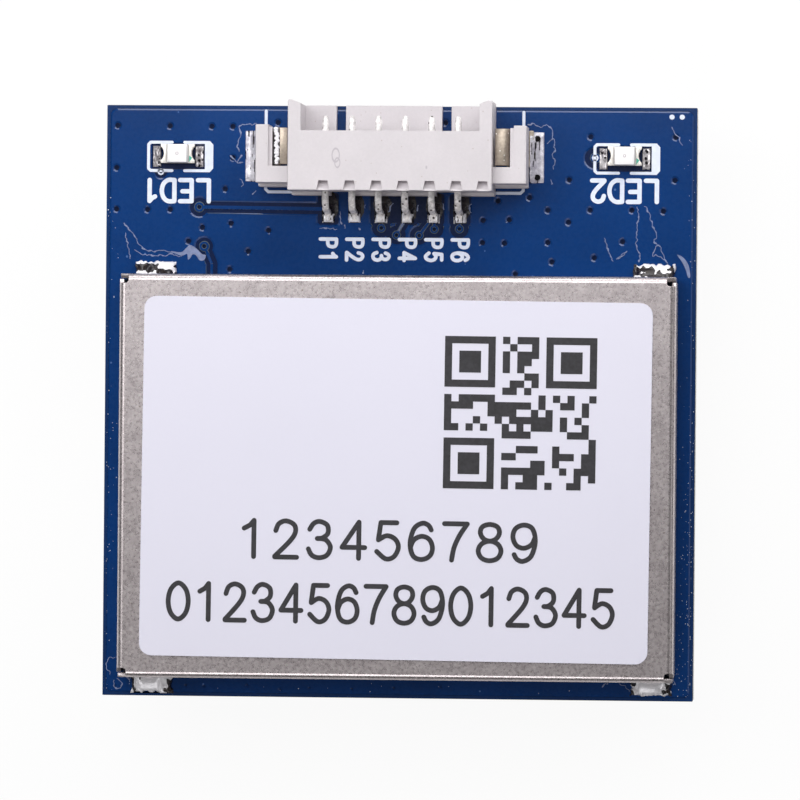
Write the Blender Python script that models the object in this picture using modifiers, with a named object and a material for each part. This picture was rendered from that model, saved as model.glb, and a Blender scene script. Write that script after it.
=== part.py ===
"""A small GPS receiver module: board, shield can, plug socket, LEDs and patch antenna.

Metres, +Z up. The module lies on its antenna with the shield can on top. The origin is at the middle of
its outline on the surface that it lies on, and the plug socket is at the +Y edge.
"""

import math

import bmesh
import bpy
from mathutils import Matrix, Vector

MM = 0.001

# Clearances
SEAT = 0.02 * MM  # between a piece and what it stands on, is soldered to or passes through
COMPONENT_GAP = 0.8 * MM  # between neighbouring components under the can
OVERSHOOT = 0.5 * MM  # of a cutter past the face that it opens
OVERRUN = 0.1  # of a slanted cut past its ends, as a share of its length
MERGE = 0.001 * MM  # points nearer than this are one

# Circuit board
BOARD_SIDE = 28.0 * MM
BOARD_THICKNESS = 1.6 * MM
BOARD_EDGE_ROUND = 0.05 * MM

# Patch antenna, below the board
CERAMIC_SIDE = 25.0 * MM
CERAMIC_HEIGHT = 4.0 * MM
CERAMIC_EDGE_ROUND = 0.3 * MM
ELECTRODE_MARGIN = 2.2 * MM  # from the ceramic's edges
ELECTRODE_THICKNESS = 0.05 * MM
ELECTRODE_CORNER_TRIM = 1.7 * MM
ELECTRODE_CORNER_ROUND = 0.4 * MM
TAPE_MARGIN = 0.5 * MM  # from the ceramic's edges
TAPE_THICKNESS = 0.2 * MM
FEED_PIN_RADIUS = 0.45 * MM
FEED_HEAD_RADIUS = 1.15 * MM
FEED_HEAD_HEIGHT = 0.25 * MM
FEED_OFFSET = 2.0 * MM  # of the feed pin from the antenna's middle, towards -Y
FEED_TAIL = 0.5 * MM  # above the board
FEED_SOLDER_RADIUS = 0.95 * MM
FEED_SOLDER_HEIGHT = 0.32 * MM
FEED_SOLDER_RIM = 0.05 * MM
TAPE_HOLE_RADIUS = 1.0 * MM

# Shield can
CAN_SIDE_MARGIN = 0.9 * MM  # from the board's side edges, before the shift
CAN_SIDE_SHIFT = 0.05 * MM  # of its middle from the board's middle, towards +X
CAN_REAR_MARGIN = 0.96 * MM  # from the board's -Y edge
CAN_SOCKET_GAP = 2.57 * MM  # from the ends of the contacts' feet
CAN_HEIGHT = 2.7 * MM
CAN_SHEET = 0.2 * MM
CAN_BEND_RADIUS = 0.3 * MM  # outer
CAN_SEAM = 0.05 * MM  # between two walls at a corner
CAN_RELIEF_RADIUS = 0.14 * MM
CAN_FOOT_LENGTH = 2.4 * MM  # where the wall reaches the board, at each corner
CAN_RIM_LIFT = 0.12 * MM  # of the wall's lower edge between the feet

# Solder lumps at the can's corners
LUMP_LENGTH = 2.05 * MM
LUMP_REACH = 0.66 * MM  # from the wall
LUMP_HEIGHT = 0.5 * MM
LUMP_INSET_LEFT = 1.43 * MM  # from the can's -X wall to the lump's middle
LUMP_INSET_RIGHT = 1.12 * MM  # from the can's +X wall to the lump's middle

# Label on the can
LABEL_SIDE_MARGIN = 1.15 * MM  # from the can's sides
LABEL_END_MARGIN = 1.05 * MM  # from the can's ends
LABEL_THICKNESS = 0.1 * MM
LABEL_CORNER = 0.58 * MM
LABEL_SHIFT_Y = -0.09 * MM  # of its middle from the can's middle
LABEL_TURN = math.radians(-0.45)

# Plug socket: contacts
PIN_COUNT = 6
PIN_PITCH = 1.25 * MM
PIN_WIDTH = 0.32 * MM
PIN_TIP_WIDTH = 0.2 * MM
PIN_TIP_LENGTH = 0.3 * MM
PIN_SHEET = 0.2 * MM
PIN_LEVEL = 1.85 * MM  # of its middle, above the board
PIN_SETBACK = 0.53 * MM  # of its tip behind the board's edge
PIN_TAIL = 0.42 * MM  # straight run behind the housing
PIN_KNEE_RUN = 0.42 * MM
PIN_KNEE_DROP = 0.38 * MM
PIN_LEG_RUN = 0.1 * MM
PIN_FOOT = 0.44 * MM
PIN_BEND_RADIUS = 0.18 * MM
PIN_SLOT_CLEARANCE = 0.03 * MM  # round a contact where it passes through the housing
FOOT_LIFT = 0.06 * MM  # of solder below a foot

# Plug socket: housing
SOCKET_SHIFT = -0.31 * MM  # of its middle from the board's middle
SOCKET_END_MARGIN = 1.075 * MM  # from the last contact to the side wall
HOUSING_WALL = 0.6 * MM
HOUSING_FLOOR = 0.55 * MM
HOUSING_ROOF = 0.55 * MM
HOUSING_HEIGHT = 3.3 * MM
HOUSING_DEPTH = 4.09 * MM  # from the board's edge to the rear face
HOUSING_ROUND = 0.05 * MM
SOCKET_DEPTH = 3.1 * MM
EAR_OVERHANG = 0.15 * MM  # of the side walls past the board's edge
EAR_SLANT = 0.16 * MM
EAR_TIP = 0.2 * MM  # width of an ear's flat front
ROOF_SETBACK = 1.29 * MM
FLOOR_SLOT_WIDTH = 0.45 * MM
FLOOR_SLOT_PITCHES = 2  # from the middle to each floor slot
FLOOR_SLOT_END = 0.1 * MM  # of floor left at the socket's rear
NOTCH_COUNT = 7
NOTCH_WIDTH = 0.42 * MM
NOTCH_REAR_WIDTH = 0.62 * MM
NOTCH_RUN = 0.46 * MM
NOTCH_DEPTH = 0.5 * MM
FLANGE_RUN = 0.16 * MM
FLANGE_HEIGHT = 0.9 * MM
FLANGE_GAP = 0.93 * MM
FLANGE_GAP_RECESS = 0.3 * MM
FLANGE_GAP_RISE = 0.15 * MM

# Plug socket: wings and hold-downs
WING_REACH = 1.575 * MM
WING_HEIGHT = 2.6 * MM
WING_SETBACK = 0.99 * MM
WING_DEPTH = 2.73 * MM
WING_STEP_SETBACK = 0.11 * MM  # of the inner step behind the rail's front
WING_STEP_WIDTH = 0.18 * MM
WING_STEP_DROP = 0.22 * MM
WING_LEDGE_RUN = 0.14 * MM
WING_LEDGE_HEIGHT = 1.0 * MM
WING_LIFT = 0.06 * MM  # of the wing's underside above the housing's
POCKET_WIDTH = 0.8 * MM
POCKET_DEPTH = 1.95 * MM
FOOT_TUNNEL = 0.34 * MM
HOLD_DOWN_SHEET = 0.2 * MM
HOLD_DOWN_LENGTH = 1.72 * MM
HOLD_DOWN_SETBACK = 0.14 * MM  # behind the rail's front
HOLD_DOWN_GAP = 0.09 * MM  # to the housing's side
HOLD_DOWN_TOP = 2.35 * MM
HOLD_DOWN_BEND = 0.2 * MM
HOLD_DOWN_FOOT_REACH = 0.22 * MM  # past the wing
PAD_REACH = 0.72 * MM  # past the wing
PAD_LENGTH = 2.45 * MM
PAD_SETBACK = 1.17 * MM
PAD_HEIGHT = 0.3 * MM
PAD_HOLE_RADIUS = 0.14 * MM
PAD_HOLE_INSET = 0.34 * MM  # from the pad's outer edge
PAD_HOLE_END = 0.26 * MM  # from the pad's ends
FOOT_SOLDER_WIDTH = 0.62 * MM
FOOT_SOLDER_LENGTH = 0.5 * MM
FOOT_SOLDER_HEIGHT = 0.24 * MM

# LEDs
LED_LENGTH = 1.6 * MM
LED_WIDTH = 0.9 * MM
LED_BASE_HEIGHT = 0.28 * MM
LED_LENS_LENGTH = 1.02 * MM
LED_LENS_HEIGHT = 0.36 * MM
LED_LENS_TAPER = 0.06 * MM
LED_TERMINAL_LENGTH = 0.26 * MM
LED_TERMINAL_SHEET = 0.05 * MM
LED_RECESS_RADIUS = 0.44 * MM
LED_RECESS_DEPTH = 0.15 * MM
LED_SOLDER_LENGTH = 0.38 * MM
LED_SOLDER_WIDTH = 1.0 * MM
LED_SOLDER_HEIGHT = 0.26 * MM
LED_SOLDER_SHIFT = -0.13 * MM  # of its middle from the LED's, along Y
LED_LEFT_SHIFT = 0.12 * MM  # of its middle from halfway between the socket's pad and the board's edge
LED_RIGHT_SHIFT = 0.2 * MM  # the same for the right LED, towards +X
LED_SETBACK = 2.3 * MM  # from the board's +Y edge to its middle

# Components under the can
RECEIVER_SIDE = 5.0 * MM
RECEIVER_HEIGHT = 0.9 * MM
OSCILLATOR_LENGTH = 2.5 * MM
OSCILLATOR_WIDTH = 2.0 * MM
OSCILLATOR_HEIGHT = 0.8 * MM
CRYSTAL_LENGTH = 3.2 * MM
CRYSTAL_WIDTH = 1.5 * MM
CRYSTAL_HEIGHT = 0.8 * MM
FILTER_LENGTH = 1.4 * MM
FILTER_WIDTH = 1.1 * MM
FILTER_HEIGHT = 0.6 * MM
AMPLIFIER_LENGTH = 1.5 * MM
AMPLIFIER_WIDTH = 1.0 * MM
AMPLIFIER_HEIGHT = 0.5 * MM
MEMORY_LENGTH = 4.0 * MM
MEMORY_WIDTH = 3.0 * MM
MEMORY_HEIGHT = 0.6 * MM
REGULATOR_LENGTH = 2.9 * MM
REGULATOR_WIDTH = 1.6 * MM
REGULATOR_HEIGHT = 1.1 * MM
REGULATOR_LEAD_WIDTH = 0.4 * MM
REGULATOR_LEAD_REACH = 0.55 * MM
REGULATOR_LEAD_SHEET = 0.15 * MM
REGULATOR_LEAD_PITCH = 0.95 * MM
PASSIVE_LENGTH = 1.0 * MM
PASSIVE_WIDTH = 0.5 * MM
CAPACITOR_HEIGHT = 0.5 * MM
RESISTOR_HEIGHT = 0.35 * MM
INDUCTOR_LENGTH = 1.6 * MM
INDUCTOR_WIDTH = 0.8 * MM
INDUCTOR_HEIGHT = 0.8 * MM
PASSIVE_CAP = 0.22 * MM
PASSIVE_CAP_RISE = 0.02 * MM
CELL_DIAMETER = 4.8 * MM
CELL_HEIGHT = 1.4 * MM
CELL_RIM = 0.35 * MM
CELL_STEP = 0.3 * MM
CHIP_ROUND = 0.08 * MM
COMPONENTS_TOP = 4.4 * MM  # of the first rows past the feed pin's middle, towards +Y

# Levels, from the surface that the module lies on
ELECTRODE_Z = FEED_HEAD_HEIGHT + SEAT
CERAMIC_Z = ELECTRODE_Z + ELECTRODE_THICKNESS + SEAT
TAPE_Z = CERAMIC_Z + CERAMIC_HEIGHT + SEAT
BOARD_Z = TAPE_Z + TAPE_THICKNESS + SEAT
BOARD_TOP = BOARD_Z + BOARD_THICKNESS
SEAT_Z = BOARD_TOP + SEAT
CAN_TOP = SEAT_Z + CAN_HEIGHT

# Sizes that follow from others
FOOT_END = HOUSING_DEPTH + PIN_TAIL + PIN_KNEE_RUN + PIN_LEG_RUN + PIN_FOOT
ELECTRODE_SIDE = CERAMIC_SIDE - 2 * ELECTRODE_MARGIN
TAPE_SIDE = CERAMIC_SIDE - 2 * TAPE_MARGIN
CAN_WIDTH = BOARD_SIDE - 2 * CAN_SIDE_MARGIN
CAN_LENGTH = BOARD_SIDE - CAN_REAR_MARGIN - FOOT_END - CAN_SOCKET_GAP
LABEL_WIDTH = CAN_WIDTH - 2 * LABEL_SIDE_MARGIN
LABEL_LENGTH = CAN_LENGTH - 2 * LABEL_END_MARGIN

# Places, from the middle of the module's outline
BOARD_Y = -EAR_OVERHANG / 2
EDGE_Y = BOARD_Y + BOARD_SIDE / 2
CAN_X = CAN_SIDE_SHIFT
CAN_Y = BOARD_Y - BOARD_SIDE / 2 + CAN_REAR_MARGIN + CAN_LENGTH / 2
FEED_Y = BOARD_Y - FEED_OFFSET
PIN_ROW = (PIN_COUNT - 1) * PIN_PITCH
SOCKET_HALF = PIN_ROW / 2 + SOCKET_END_MARGIN
HOUSING_HALF = SOCKET_HALF + HOUSING_WALL
WING_HALF = HOUSING_HALF + WING_REACH

ROUND_STEPS = 20
SOLDER_ROUND = 0.45  # of a solder lump's edges, as a share of its height

COLOURS = {
    "solder_mask": ((0.014, 0.065, 0.22), 0.35, 0.0),
    "can_metal": ((0.55, 0.53, 0.52), 0.35, 0.9),
    "tin": ((0.78, 0.77, 0.79), 0.28, 1.0),
    "label_paper": ((0.80, 0.80, 0.88), 0.55, 0.0),
    "housing_plastic": ((0.80, 0.75, 0.70), 0.5, 0.0),
    "led_base": ((0.82, 0.80, 0.72), 0.5, 0.0),
    "led_lens": ((0.85, 0.86, 0.70), 0.2, 0.0),
    "ceramic": ((0.55, 0.50, 0.42), 0.6, 0.0),
    "silver": ((0.72, 0.70, 0.66), 0.4, 1.0),
    "tape": ((0.03, 0.03, 0.03), 0.8, 0.0),
    "chip_resin": ((0.02, 0.02, 0.022), 0.5, 0.0),
    "crystal_metal": ((0.68, 0.66, 0.60), 0.3, 1.0),
    "cell_steel": ((0.62, 0.62, 0.62), 0.25, 1.0),
    "capacitor_ceramic": ((0.42, 0.28, 0.17), 0.5, 0.0),
    "resistor_glass": ((0.03, 0.03, 0.035), 0.3, 0.0),
    "inductor_ferrite": ((0.10, 0.09, 0.09), 0.6, 0.0),
}


def clear_scene():
    for obj in list(bpy.data.objects):
        bpy.data.objects.remove(obj, do_unlink=True)


def new_collection(name):
    made = bpy.data.collections.new(name)
    bpy.context.scene.collection.children.link(made)
    return made


clear_scene()
PARTS = new_collection("gps_module")
CUTTERS = new_collection("cutters")
CUTTERS.hide_render = True


def finish_of(name):
    """The material called name, made once."""
    found = bpy.data.materials.get(name)
    if found:
        return found
    colour, roughness, metallic = COLOURS[name]
    made = bpy.data.materials.new(name)
    made.use_nodes = True
    shader = made.node_tree.nodes["Principled BSDF"]
    shader.inputs["Base Color"].default_value = (*colour, 1)
    shader.inputs["Roughness"].default_value = roughness
    shader.inputs["Metallic"].default_value = metallic
    return made


def object_from(bm, name, finish=None):
    """A new object holding bm's mesh: a part with a finish, or else a cutter."""
    mesh = bpy.data.meshes.new(name)
    bm.to_mesh(mesh)
    bm.free()
    obj = bpy.data.objects.new(name, mesh)
    if finish:
        PARTS.objects.link(obj)
        mesh.materials.append(finish_of(finish))
    else:
        CUTTERS.objects.link(obj)
        obj.hide_render = True
        obj.display_type = "WIRE"
    return obj


def block(name, low, high, finish=None, rounded=0, steps=2):
    """A box from its low corner to its high corner, with its edges rounded."""
    low, high = Vector(low), Vector(high)
    bm = bmesh.new()
    bmesh.ops.create_cube(bm, size=1)
    bmesh.ops.scale(bm, vec=high - low, verts=bm.verts)
    bmesh.ops.translate(bm, vec=(low + high) / 2, verts=bm.verts)
    if rounded:
        bmesh.ops.bevel(bm, geom=bm.edges[:], offset=rounded, segments=steps, affect="EDGES", profile=0.5)
    return object_from(bm, name, finish)


def standing(name, middle, size, level, finish=None, rounded=0, steps=2):
    """A box of this size whose underside is at level and whose middle is over the point (x, y)."""
    half = Vector((size[0] / 2, size[1] / 2))
    low = (middle[0] - half.x, middle[1] - half.y, level)
    high = (middle[0] + half.x, middle[1] + half.y, level + size[2])
    return block(name, low, high, finish, rounded, steps)


def drum(name, middle, radius, low, high):
    """A round cutter on an upright axis."""
    bm = bmesh.new()
    bmesh.ops.create_cone(
        bm, cap_ends=True, segments=ROUND_STEPS, radius1=radius, radius2=radius, depth=high - low
    )
    bmesh.ops.translate(bm, vec=(*middle, (low + high) / 2), verts=bm.verts)
    return object_from(bm, name)


def prism(name, outline, low, high, place, finish=None, rounded=0):
    """An outline drawn out from low to high. place(first, second, drawn) puts each corner in space."""
    bm = bmesh.new()
    face = bm.faces.new([bm.verts.new(place(a, b, low)) for a, b in outline])
    drawn = bmesh.ops.extrude_face_region(bm, geom=[face])
    far = [item for item in drawn["geom"] if isinstance(item, bmesh.types.BMVert)]
    bmesh.ops.translate(bm, vec=Vector(place(0, 0, high)) - Vector(place(0, 0, low)), verts=far)
    bmesh.ops.recalc_face_normals(bm, faces=bm.faces)
    if rounded:
        bmesh.ops.bevel(bm, geom=bm.edges[:], offset=rounded, segments=2, affect="EDGES", profile=0.5)
    return object_from(bm, name, finish)


def lathe(name, profile, middle, finish, steps=ROUND_STEPS):
    """A turned piece. The profile is (radius, height) pairs down its outer side."""
    mesh = bpy.data.meshes.new(name)
    points = [(radius, 0, height) for radius, height in profile]
    edges = [(i, i + 1) for i in range(len(points) - 1)]
    if profile[0][0] > 0:
        edges.append((len(points) - 1, 0))
    mesh.from_pydata(points, edges, [])
    mesh.materials.append(finish_of(finish))
    obj = bpy.data.objects.new(name, mesh)
    obj.location = (*middle, 0)
    PARTS.objects.link(obj)
    screw = obj.modifiers.new("turn", "SCREW")
    screw.steps = screw.render_steps = steps
    screw.use_merge_vertices = True
    screw.merge_threshold = MERGE
    screw.use_smooth_shade = True
    return obj


def combine(target, tool, operation):
    boolean = target.modifiers.new(tool.name, "BOOLEAN")
    boolean.operation = operation
    boolean.solver = "EXACT"
    boolean.object = tool


def cut(target, *tools):
    for tool in tools:
        combine(target, tool, "DIFFERENCE")


def join(target, *tools):
    for tool in tools:
        combine(target, tool, "UNION")


def smooth(obj):
    obj.data.shade_smooth()
    obj.data.set_sharp_from_angle(angle=math.radians(35))


def arc(centre, radius, start, end, steps):
    """Points along an arc, from the angle start to the angle end."""
    turns = [start + (end - start) * k / steps for k in range(steps + 1)]
    return [Vector((centre[0] + radius * math.cos(a), centre[1] + radius * math.sin(a))) for a in turns]


def rounded_path(corners, radius, steps=4):
    """The open path through these corners, with its inner corners rounded."""
    corners = [Vector(corner) for corner in corners]
    path = [corners[0]]
    for before, corner, after in zip(corners, corners[1:], corners[2:]):
        back = (before - corner).normalized()
        ahead = (after - corner).normalized()
        half = back.angle(ahead) / 2
        centre = corner + (back + ahead).normalized() * radius / math.sin(half)
        first = corner + back * radius / math.tan(half) - centre
        last = corner + ahead * radius / math.tan(half) - centre
        for k in range(steps + 1):
            path.append(centre + first.lerp(last, k / steps).normalized() * radius)
    return path + [corners[-1]]


def ribbon(name, path, widths, sheet, place, finish):
    """A bent strip of sheet along path, which place(across, along, up) puts in the module."""
    bm = bmesh.new()
    rows = []
    for (along, up), width in zip(path, widths):
        rows.append([bm.verts.new(place(side * width / 2, along, up)) for side in (-1, 1)])
    for (a, b), (c, d) in zip(rows, rows[1:]):
        bm.faces.new((a, b, d, c))
    obj = object_from(bm, name, finish)
    solid = obj.modifiers.new("sheet", "SOLIDIFY")
    solid.thickness = sheet
    solid.offset = 0
    solid.use_even_offset = True
    smooth(obj)
    return obj


def flat_piece(name, outline, thickness, middle, level, finish, turn=0):
    """A flat piece from its outline, as a mesh standing at level."""
    curve = bpy.data.curves.new(name, "CURVE")
    curve.dimensions = "2D"
    curve.fill_mode = "BOTH"
    curve.extrude = thickness / 2
    spline = curve.splines.new("POLY")
    spline.points.add(len(outline) - 1)
    for point, (x, y) in zip(spline.points, outline):
        point.co = (x, y, 0, 1)
    spline.use_cyclic_u = True
    drawn = bpy.data.objects.new(name, curve)
    bpy.context.scene.collection.objects.link(drawn)
    bpy.context.view_layer.update()
    graph = bpy.context.evaluated_depsgraph_get()
    bm = bmesh.new()
    bm.from_mesh(bpy.data.meshes.new_from_object(drawn.evaluated_get(graph)))
    bpy.data.objects.remove(drawn)
    bmesh.ops.remove_doubles(bm, verts=bm.verts, dist=MERGE)
    bmesh.ops.recalc_face_normals(bm, faces=bm.faces)
    obj = object_from(bm, name, finish)
    obj.matrix_world = Matrix.Translation((*middle, level + thickness / 2)) @ Matrix.Rotation(turn, 4, "Z")
    return obj


def rounded_rectangle(width, length, radius, steps=6):
    outline = []
    for turn, (sx, sy) in enumerate(((1, 1), (-1, 1), (-1, -1), (1, -1))):
        centre = (sx * (width / 2 - radius), sy * (length / 2 - radius))
        outline += arc(centre, radius, turn * math.pi / 2, (turn + 1) * math.pi / 2, steps)
    return outline


def circuit_board():
    half = BOARD_SIDE / 2
    board = block(
        "circuit_board",
        (-half, BOARD_Y - half, BOARD_Z),
        (half, BOARD_Y + half, BOARD_TOP),
        "solder_mask",
        BOARD_EDGE_ROUND,
        1,
    )
    hole = FEED_PIN_RADIUS + 2 * SEAT
    low, high = BOARD_Z - OVERSHOOT, BOARD_TOP + OVERSHOOT
    cut(board, drum("board_feed_hole", (0, FEED_Y), hole, low, high))
    for k, middle in enumerate(pad_hole_middles()):
        cut(board, drum(f"board_pad_hole_{k + 1}", middle, PAD_HOLE_RADIUS, low, high))
    return board


def antenna():
    """The ceramic block with its electrode below, its feed pin, and the tape between it and the board."""
    middle = (0, BOARD_Y)
    feed = (0, FEED_Y)
    block_size = (CERAMIC_SIDE, CERAMIC_SIDE, CERAMIC_HEIGHT)
    ceramic = standing("antenna_ceramic", middle, block_size, CERAMIC_Z, "ceramic", CERAMIC_EDGE_ROUND, 2)
    electrode = flat_piece(
        "antenna_electrode", electrode_outline(), ELECTRODE_THICKNESS, middle, ELECTRODE_Z, "silver"
    )
    tape_size = (TAPE_SIDE, TAPE_SIDE, TAPE_THICKNESS)
    tape = standing("antenna_tape", middle, tape_size, TAPE_Z, "tape")
    low, high = -OVERSHOOT, BOARD_TOP
    through = drum("antenna_feed_hole", feed, FEED_PIN_RADIUS + 2 * SEAT, low, high)
    cut(ceramic, through)
    cut(electrode, through)
    cut(tape, drum("tape_hole", feed, TAPE_HOLE_RADIUS, low, high))
    feed_pin(feed)
    feed_solder(feed)


def electrode_outline():
    """A square with rounded corners, two of them cut off at a slant to set the polarisation."""
    half = ELECTRODE_SIDE / 2
    outline = []
    for turn, (sx, sy) in enumerate(((1, 1), (-1, 1), (-1, -1), (1, -1))):
        if turn % 2:
            centre = (sx * (half - ELECTRODE_CORNER_ROUND), sy * (half - ELECTRODE_CORNER_ROUND))
            start = turn * math.pi / 2
            outline += arc(centre, ELECTRODE_CORNER_ROUND, start, start + math.pi / 2, 4)
        else:
            cut_ends = [(half, half - ELECTRODE_CORNER_TRIM), (half - ELECTRODE_CORNER_TRIM, half)]
            outline += [Vector((sx * x, sy * y)) for x, y in cut_ends]
    return outline


def feed_pin(middle):
    top = BOARD_TOP + FEED_TAIL
    chamfer = FEED_PIN_RADIUS / 4
    dome = [
        (FEED_HEAD_RADIUS * math.cos(a), FEED_HEAD_HEIGHT * (1 - math.sin(a)))
        for a in (math.pi / 2 * k / 5 for k in range(6))
    ]
    profile = [(0, top), (FEED_PIN_RADIUS - chamfer, top), (FEED_PIN_RADIUS, top - chamfer)]
    profile += [(FEED_PIN_RADIUS, FEED_HEAD_HEIGHT)] + dome[:-1] + [(0, 0)]
    lathe("antenna_feed_pin", profile, middle, "tin")


def feed_solder(middle):
    """A hollow cone of solder that climbs the pin."""
    inner = FEED_PIN_RADIUS + SEAT
    spread, rise = FEED_SOLDER_RADIUS - inner, FEED_SOLDER_HEIGHT - FEED_SOLDER_RIM
    profile = [
        (FEED_SOLDER_RADIUS - spread * math.cos(a), SEAT_Z + FEED_SOLDER_HEIGHT - rise * math.sin(a))
        for a in (math.pi / 2 * k / 5 for k in range(6))
    ]
    profile += [(FEED_SOLDER_RADIUS, SEAT_Z), (inner, SEAT_Z)]
    lathe("feed_solder", profile, middle, "tin")


def can_corner(sx, sy):
    """The plate's corner between two bends, cut away by a round relief hole, as points in turn."""
    centre = (CAN_WIDTH / 2 - CAN_BEND_RADIUS, CAN_LENGTH / 2 - CAN_BEND_RADIUS)
    relief = arc(centre, CAN_RELIEF_RADIUS, -math.pi / 2, -math.pi, 4)
    points = [Vector((CAN_X + sx * x, CAN_Y + sy * y)) for x, y in relief]
    return points if sx * sy > 0 else points[::-1]


def shield_can():
    """One sheet: a top plate with a wall bent down from each edge, open along its four corners."""
    bm = bmesh.new()
    corners = []
    for sx, sy in ((1, 1), (-1, 1), (-1, -1), (1, -1)):
        corners.append([bm.verts.new((*point, CAN_TOP)) for point in can_corner(sx, sy)])
    bm.faces.new([vert for corner in corners for vert in corner])
    half_x, half_y = CAN_WIDTH / 2, CAN_LENGTH / 2
    long_end = half_x - CAN_SEAM
    short_end = half_y - CAN_SHEET - CAN_SEAM
    walls = ((0, 1, half_y, long_end), (-1, 0, half_x, short_end))
    walls += ((0, -1, half_y, long_end), (1, 0, half_x, short_end))
    for turn, (x, y, distance, end) in enumerate(walls):
        first, last = corners[turn][-1], corners[(turn + 1) % 4][0]
        can_wall(bm, Vector((x, y)), distance, end, first, last)
    bmesh.ops.recalc_face_normals(bm, faces=bm.faces)
    can = object_from(bm, "shield_can", "can_metal")
    solid = can.modifiers.new("sheet", "SOLIDIFY")
    solid.thickness = CAN_SHEET
    solid.offset = -1
    solid.use_even_offset = True
    low, rim = SEAT_Z - OVERSHOOT, SEAT_Z + CAN_RIM_LIFT
    for name, x, y in (
        ("can_rim_long", half_x - CAN_FOOT_LENGTH, half_y + OVERSHOOT),
        ("can_rim_short", half_x + OVERSHOOT, half_y - CAN_FOOT_LENGTH),
    ):
        cut(can, block(name, (CAN_X - x, CAN_Y - y, low), (CAN_X + x, CAN_Y + y, rim)))
    smooth(can)


def can_wall(bm, facing, distance, end, first, last):
    """A wall bent down from the plate's edge between the vertices first and last."""
    along = Vector((-facing.y, facing.x))
    bend_end = (CAN_WIDTH if facing.y else CAN_LENGTH) / 2 - CAN_BEND_RADIUS - CAN_RELIEF_RADIUS
    steps = 4
    rows = []
    for k in range(1, steps + 1):
        turn = math.pi / 2 * k / steps
        out = distance - CAN_BEND_RADIUS * (1 - math.sin(turn))
        rows.append((out, CAN_TOP - CAN_BEND_RADIUS * (1 - math.cos(turn)), bend_end))
    rows[-1] = (distance, CAN_TOP - CAN_BEND_RADIUS, end)
    rows.append((distance, SEAT_Z, end))
    above = (first, last)
    for out, height, reach in rows:
        below = []
        for shift in (-reach, reach):
            place = facing * out + along * shift
            below.append(bm.verts.new((CAN_X + place.x, CAN_Y + place.y, height)))
        bm.faces.new((above[0], below[0], below[1], above[1]))
        above = below


def solder_lump(name, low, high, *tools):
    """A lump of solder with rounded edges, cut to fit round what it holds."""
    lump = block(name, low, high, "tin", (high[2] - low[2]) * SOLDER_ROUND, 3)
    cut(lump, *tools)
    smooth(lump)
    return lump


def can_solder():
    """A lump against the can's wall near each corner."""
    half_x, half_y = CAN_WIDTH / 2, CAN_LENGTH / 2
    left = CAN_X - half_x + LUMP_INSET_LEFT
    right = CAN_X + half_x - LUMP_INSET_RIGHT
    for k, (x, side) in enumerate(((left, 1), (right, 1), (left, -1), (right, -1))):
        wall = CAN_Y + side * (half_y + SEAT)
        outer = wall + side * LUMP_REACH
        low = (x - LUMP_LENGTH / 2, min(wall, outer), SEAT_Z)
        high = (x + LUMP_LENGTH / 2, max(wall, outer), SEAT_Z + LUMP_HEIGHT)
        solder_lump(f"can_solder_{k + 1}", low, high)


def label():
    outline = rounded_rectangle(LABEL_WIDTH, LABEL_LENGTH, LABEL_CORNER)
    middle = (CAN_X, CAN_Y + LABEL_SHIFT_Y)
    flat_piece("label", outline, LABEL_THICKNESS, middle, CAN_TOP + SEAT, "label_paper", LABEL_TURN)


def pin_places():
    """The contacts' places along X, from left to right."""
    return [SOCKET_SHIFT + (k - (PIN_COUNT - 1) / 2) * PIN_PITCH for k in range(PIN_COUNT)]


def contact_path():
    """The contact's middle line from its tip: (behind the board's edge, above the board)."""
    level = PIN_LEVEL
    foot = FOOT_LIFT + PIN_SHEET / 2
    knee = HOUSING_DEPTH + PIN_TAIL
    leg = knee + PIN_KNEE_RUN
    heel = leg + PIN_LEG_RUN
    corners = [(PIN_SETBACK + PIN_TIP_LENGTH, level), (knee, level), (leg, level - PIN_KNEE_DROP)]
    corners += [(heel, foot), (heel + PIN_FOOT, foot)]
    return [Vector((PIN_SETBACK, level))] + rounded_path(corners, PIN_BEND_RADIUS)


def contacts():
    path = contact_path()
    widths = [PIN_TIP_WIDTH] + [PIN_WIDTH] * (len(path) - 1)
    heel = FOOT_END - PIN_FOOT
    for k, x in enumerate(pin_places()):

        def place(across, along, up, x=x):
            return (x + across, EDGE_Y - along, SEAT_Z + up)

        ribbon(f"contact_{k + 1}", path, widths, PIN_SHEET, place, "tin")
        foot_room = block(
            f"contact_{k + 1}_room",
            (x - PIN_WIDTH / 2 - SEAT, EDGE_Y - FOOT_END - SEAT, SEAT_Z + FOOT_LIFT - SEAT),
            (x + PIN_WIDTH / 2 + SEAT, EDGE_Y - heel + PIN_SHEET, SEAT_Z + PIN_LEVEL),
        )
        rear = EDGE_Y - FOOT_END - (FOOT_SOLDER_LENGTH - PIN_FOOT) / 2 - SEAT
        low = (x - FOOT_SOLDER_WIDTH / 2, rear, SEAT_Z)
        high = (x + FOOT_SOLDER_WIDTH / 2, rear + FOOT_SOLDER_LENGTH, SEAT_Z + FOOT_SOLDER_HEIGHT)
        solder_lump(f"contact_solder_{k + 1}", low, high, foot_room)


def in_socket(name, low, high):
    """A cutter or an added block from (from the socket's middle, behind the board's edge, up) corners."""
    low_corner = (SOCKET_SHIFT + low[0], EDGE_Y - high[1], SEAT_Z + low[2])
    high_corner = (SOCKET_SHIFT + high[0], EDGE_Y - low[1], SEAT_Z + high[2])
    return block(name, low_corner, high_corner)


def side_view(behind, up, across):
    """A point of the socket's side view, in space."""
    return (SOCKET_SHIFT + across, EDGE_Y - behind, SEAT_Z + up)


def plan_view(across, behind, up):
    """A point of the socket's plan, in space."""
    return (SOCKET_SHIFT + across, EDGE_Y - behind, SEAT_Z + up)


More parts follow.
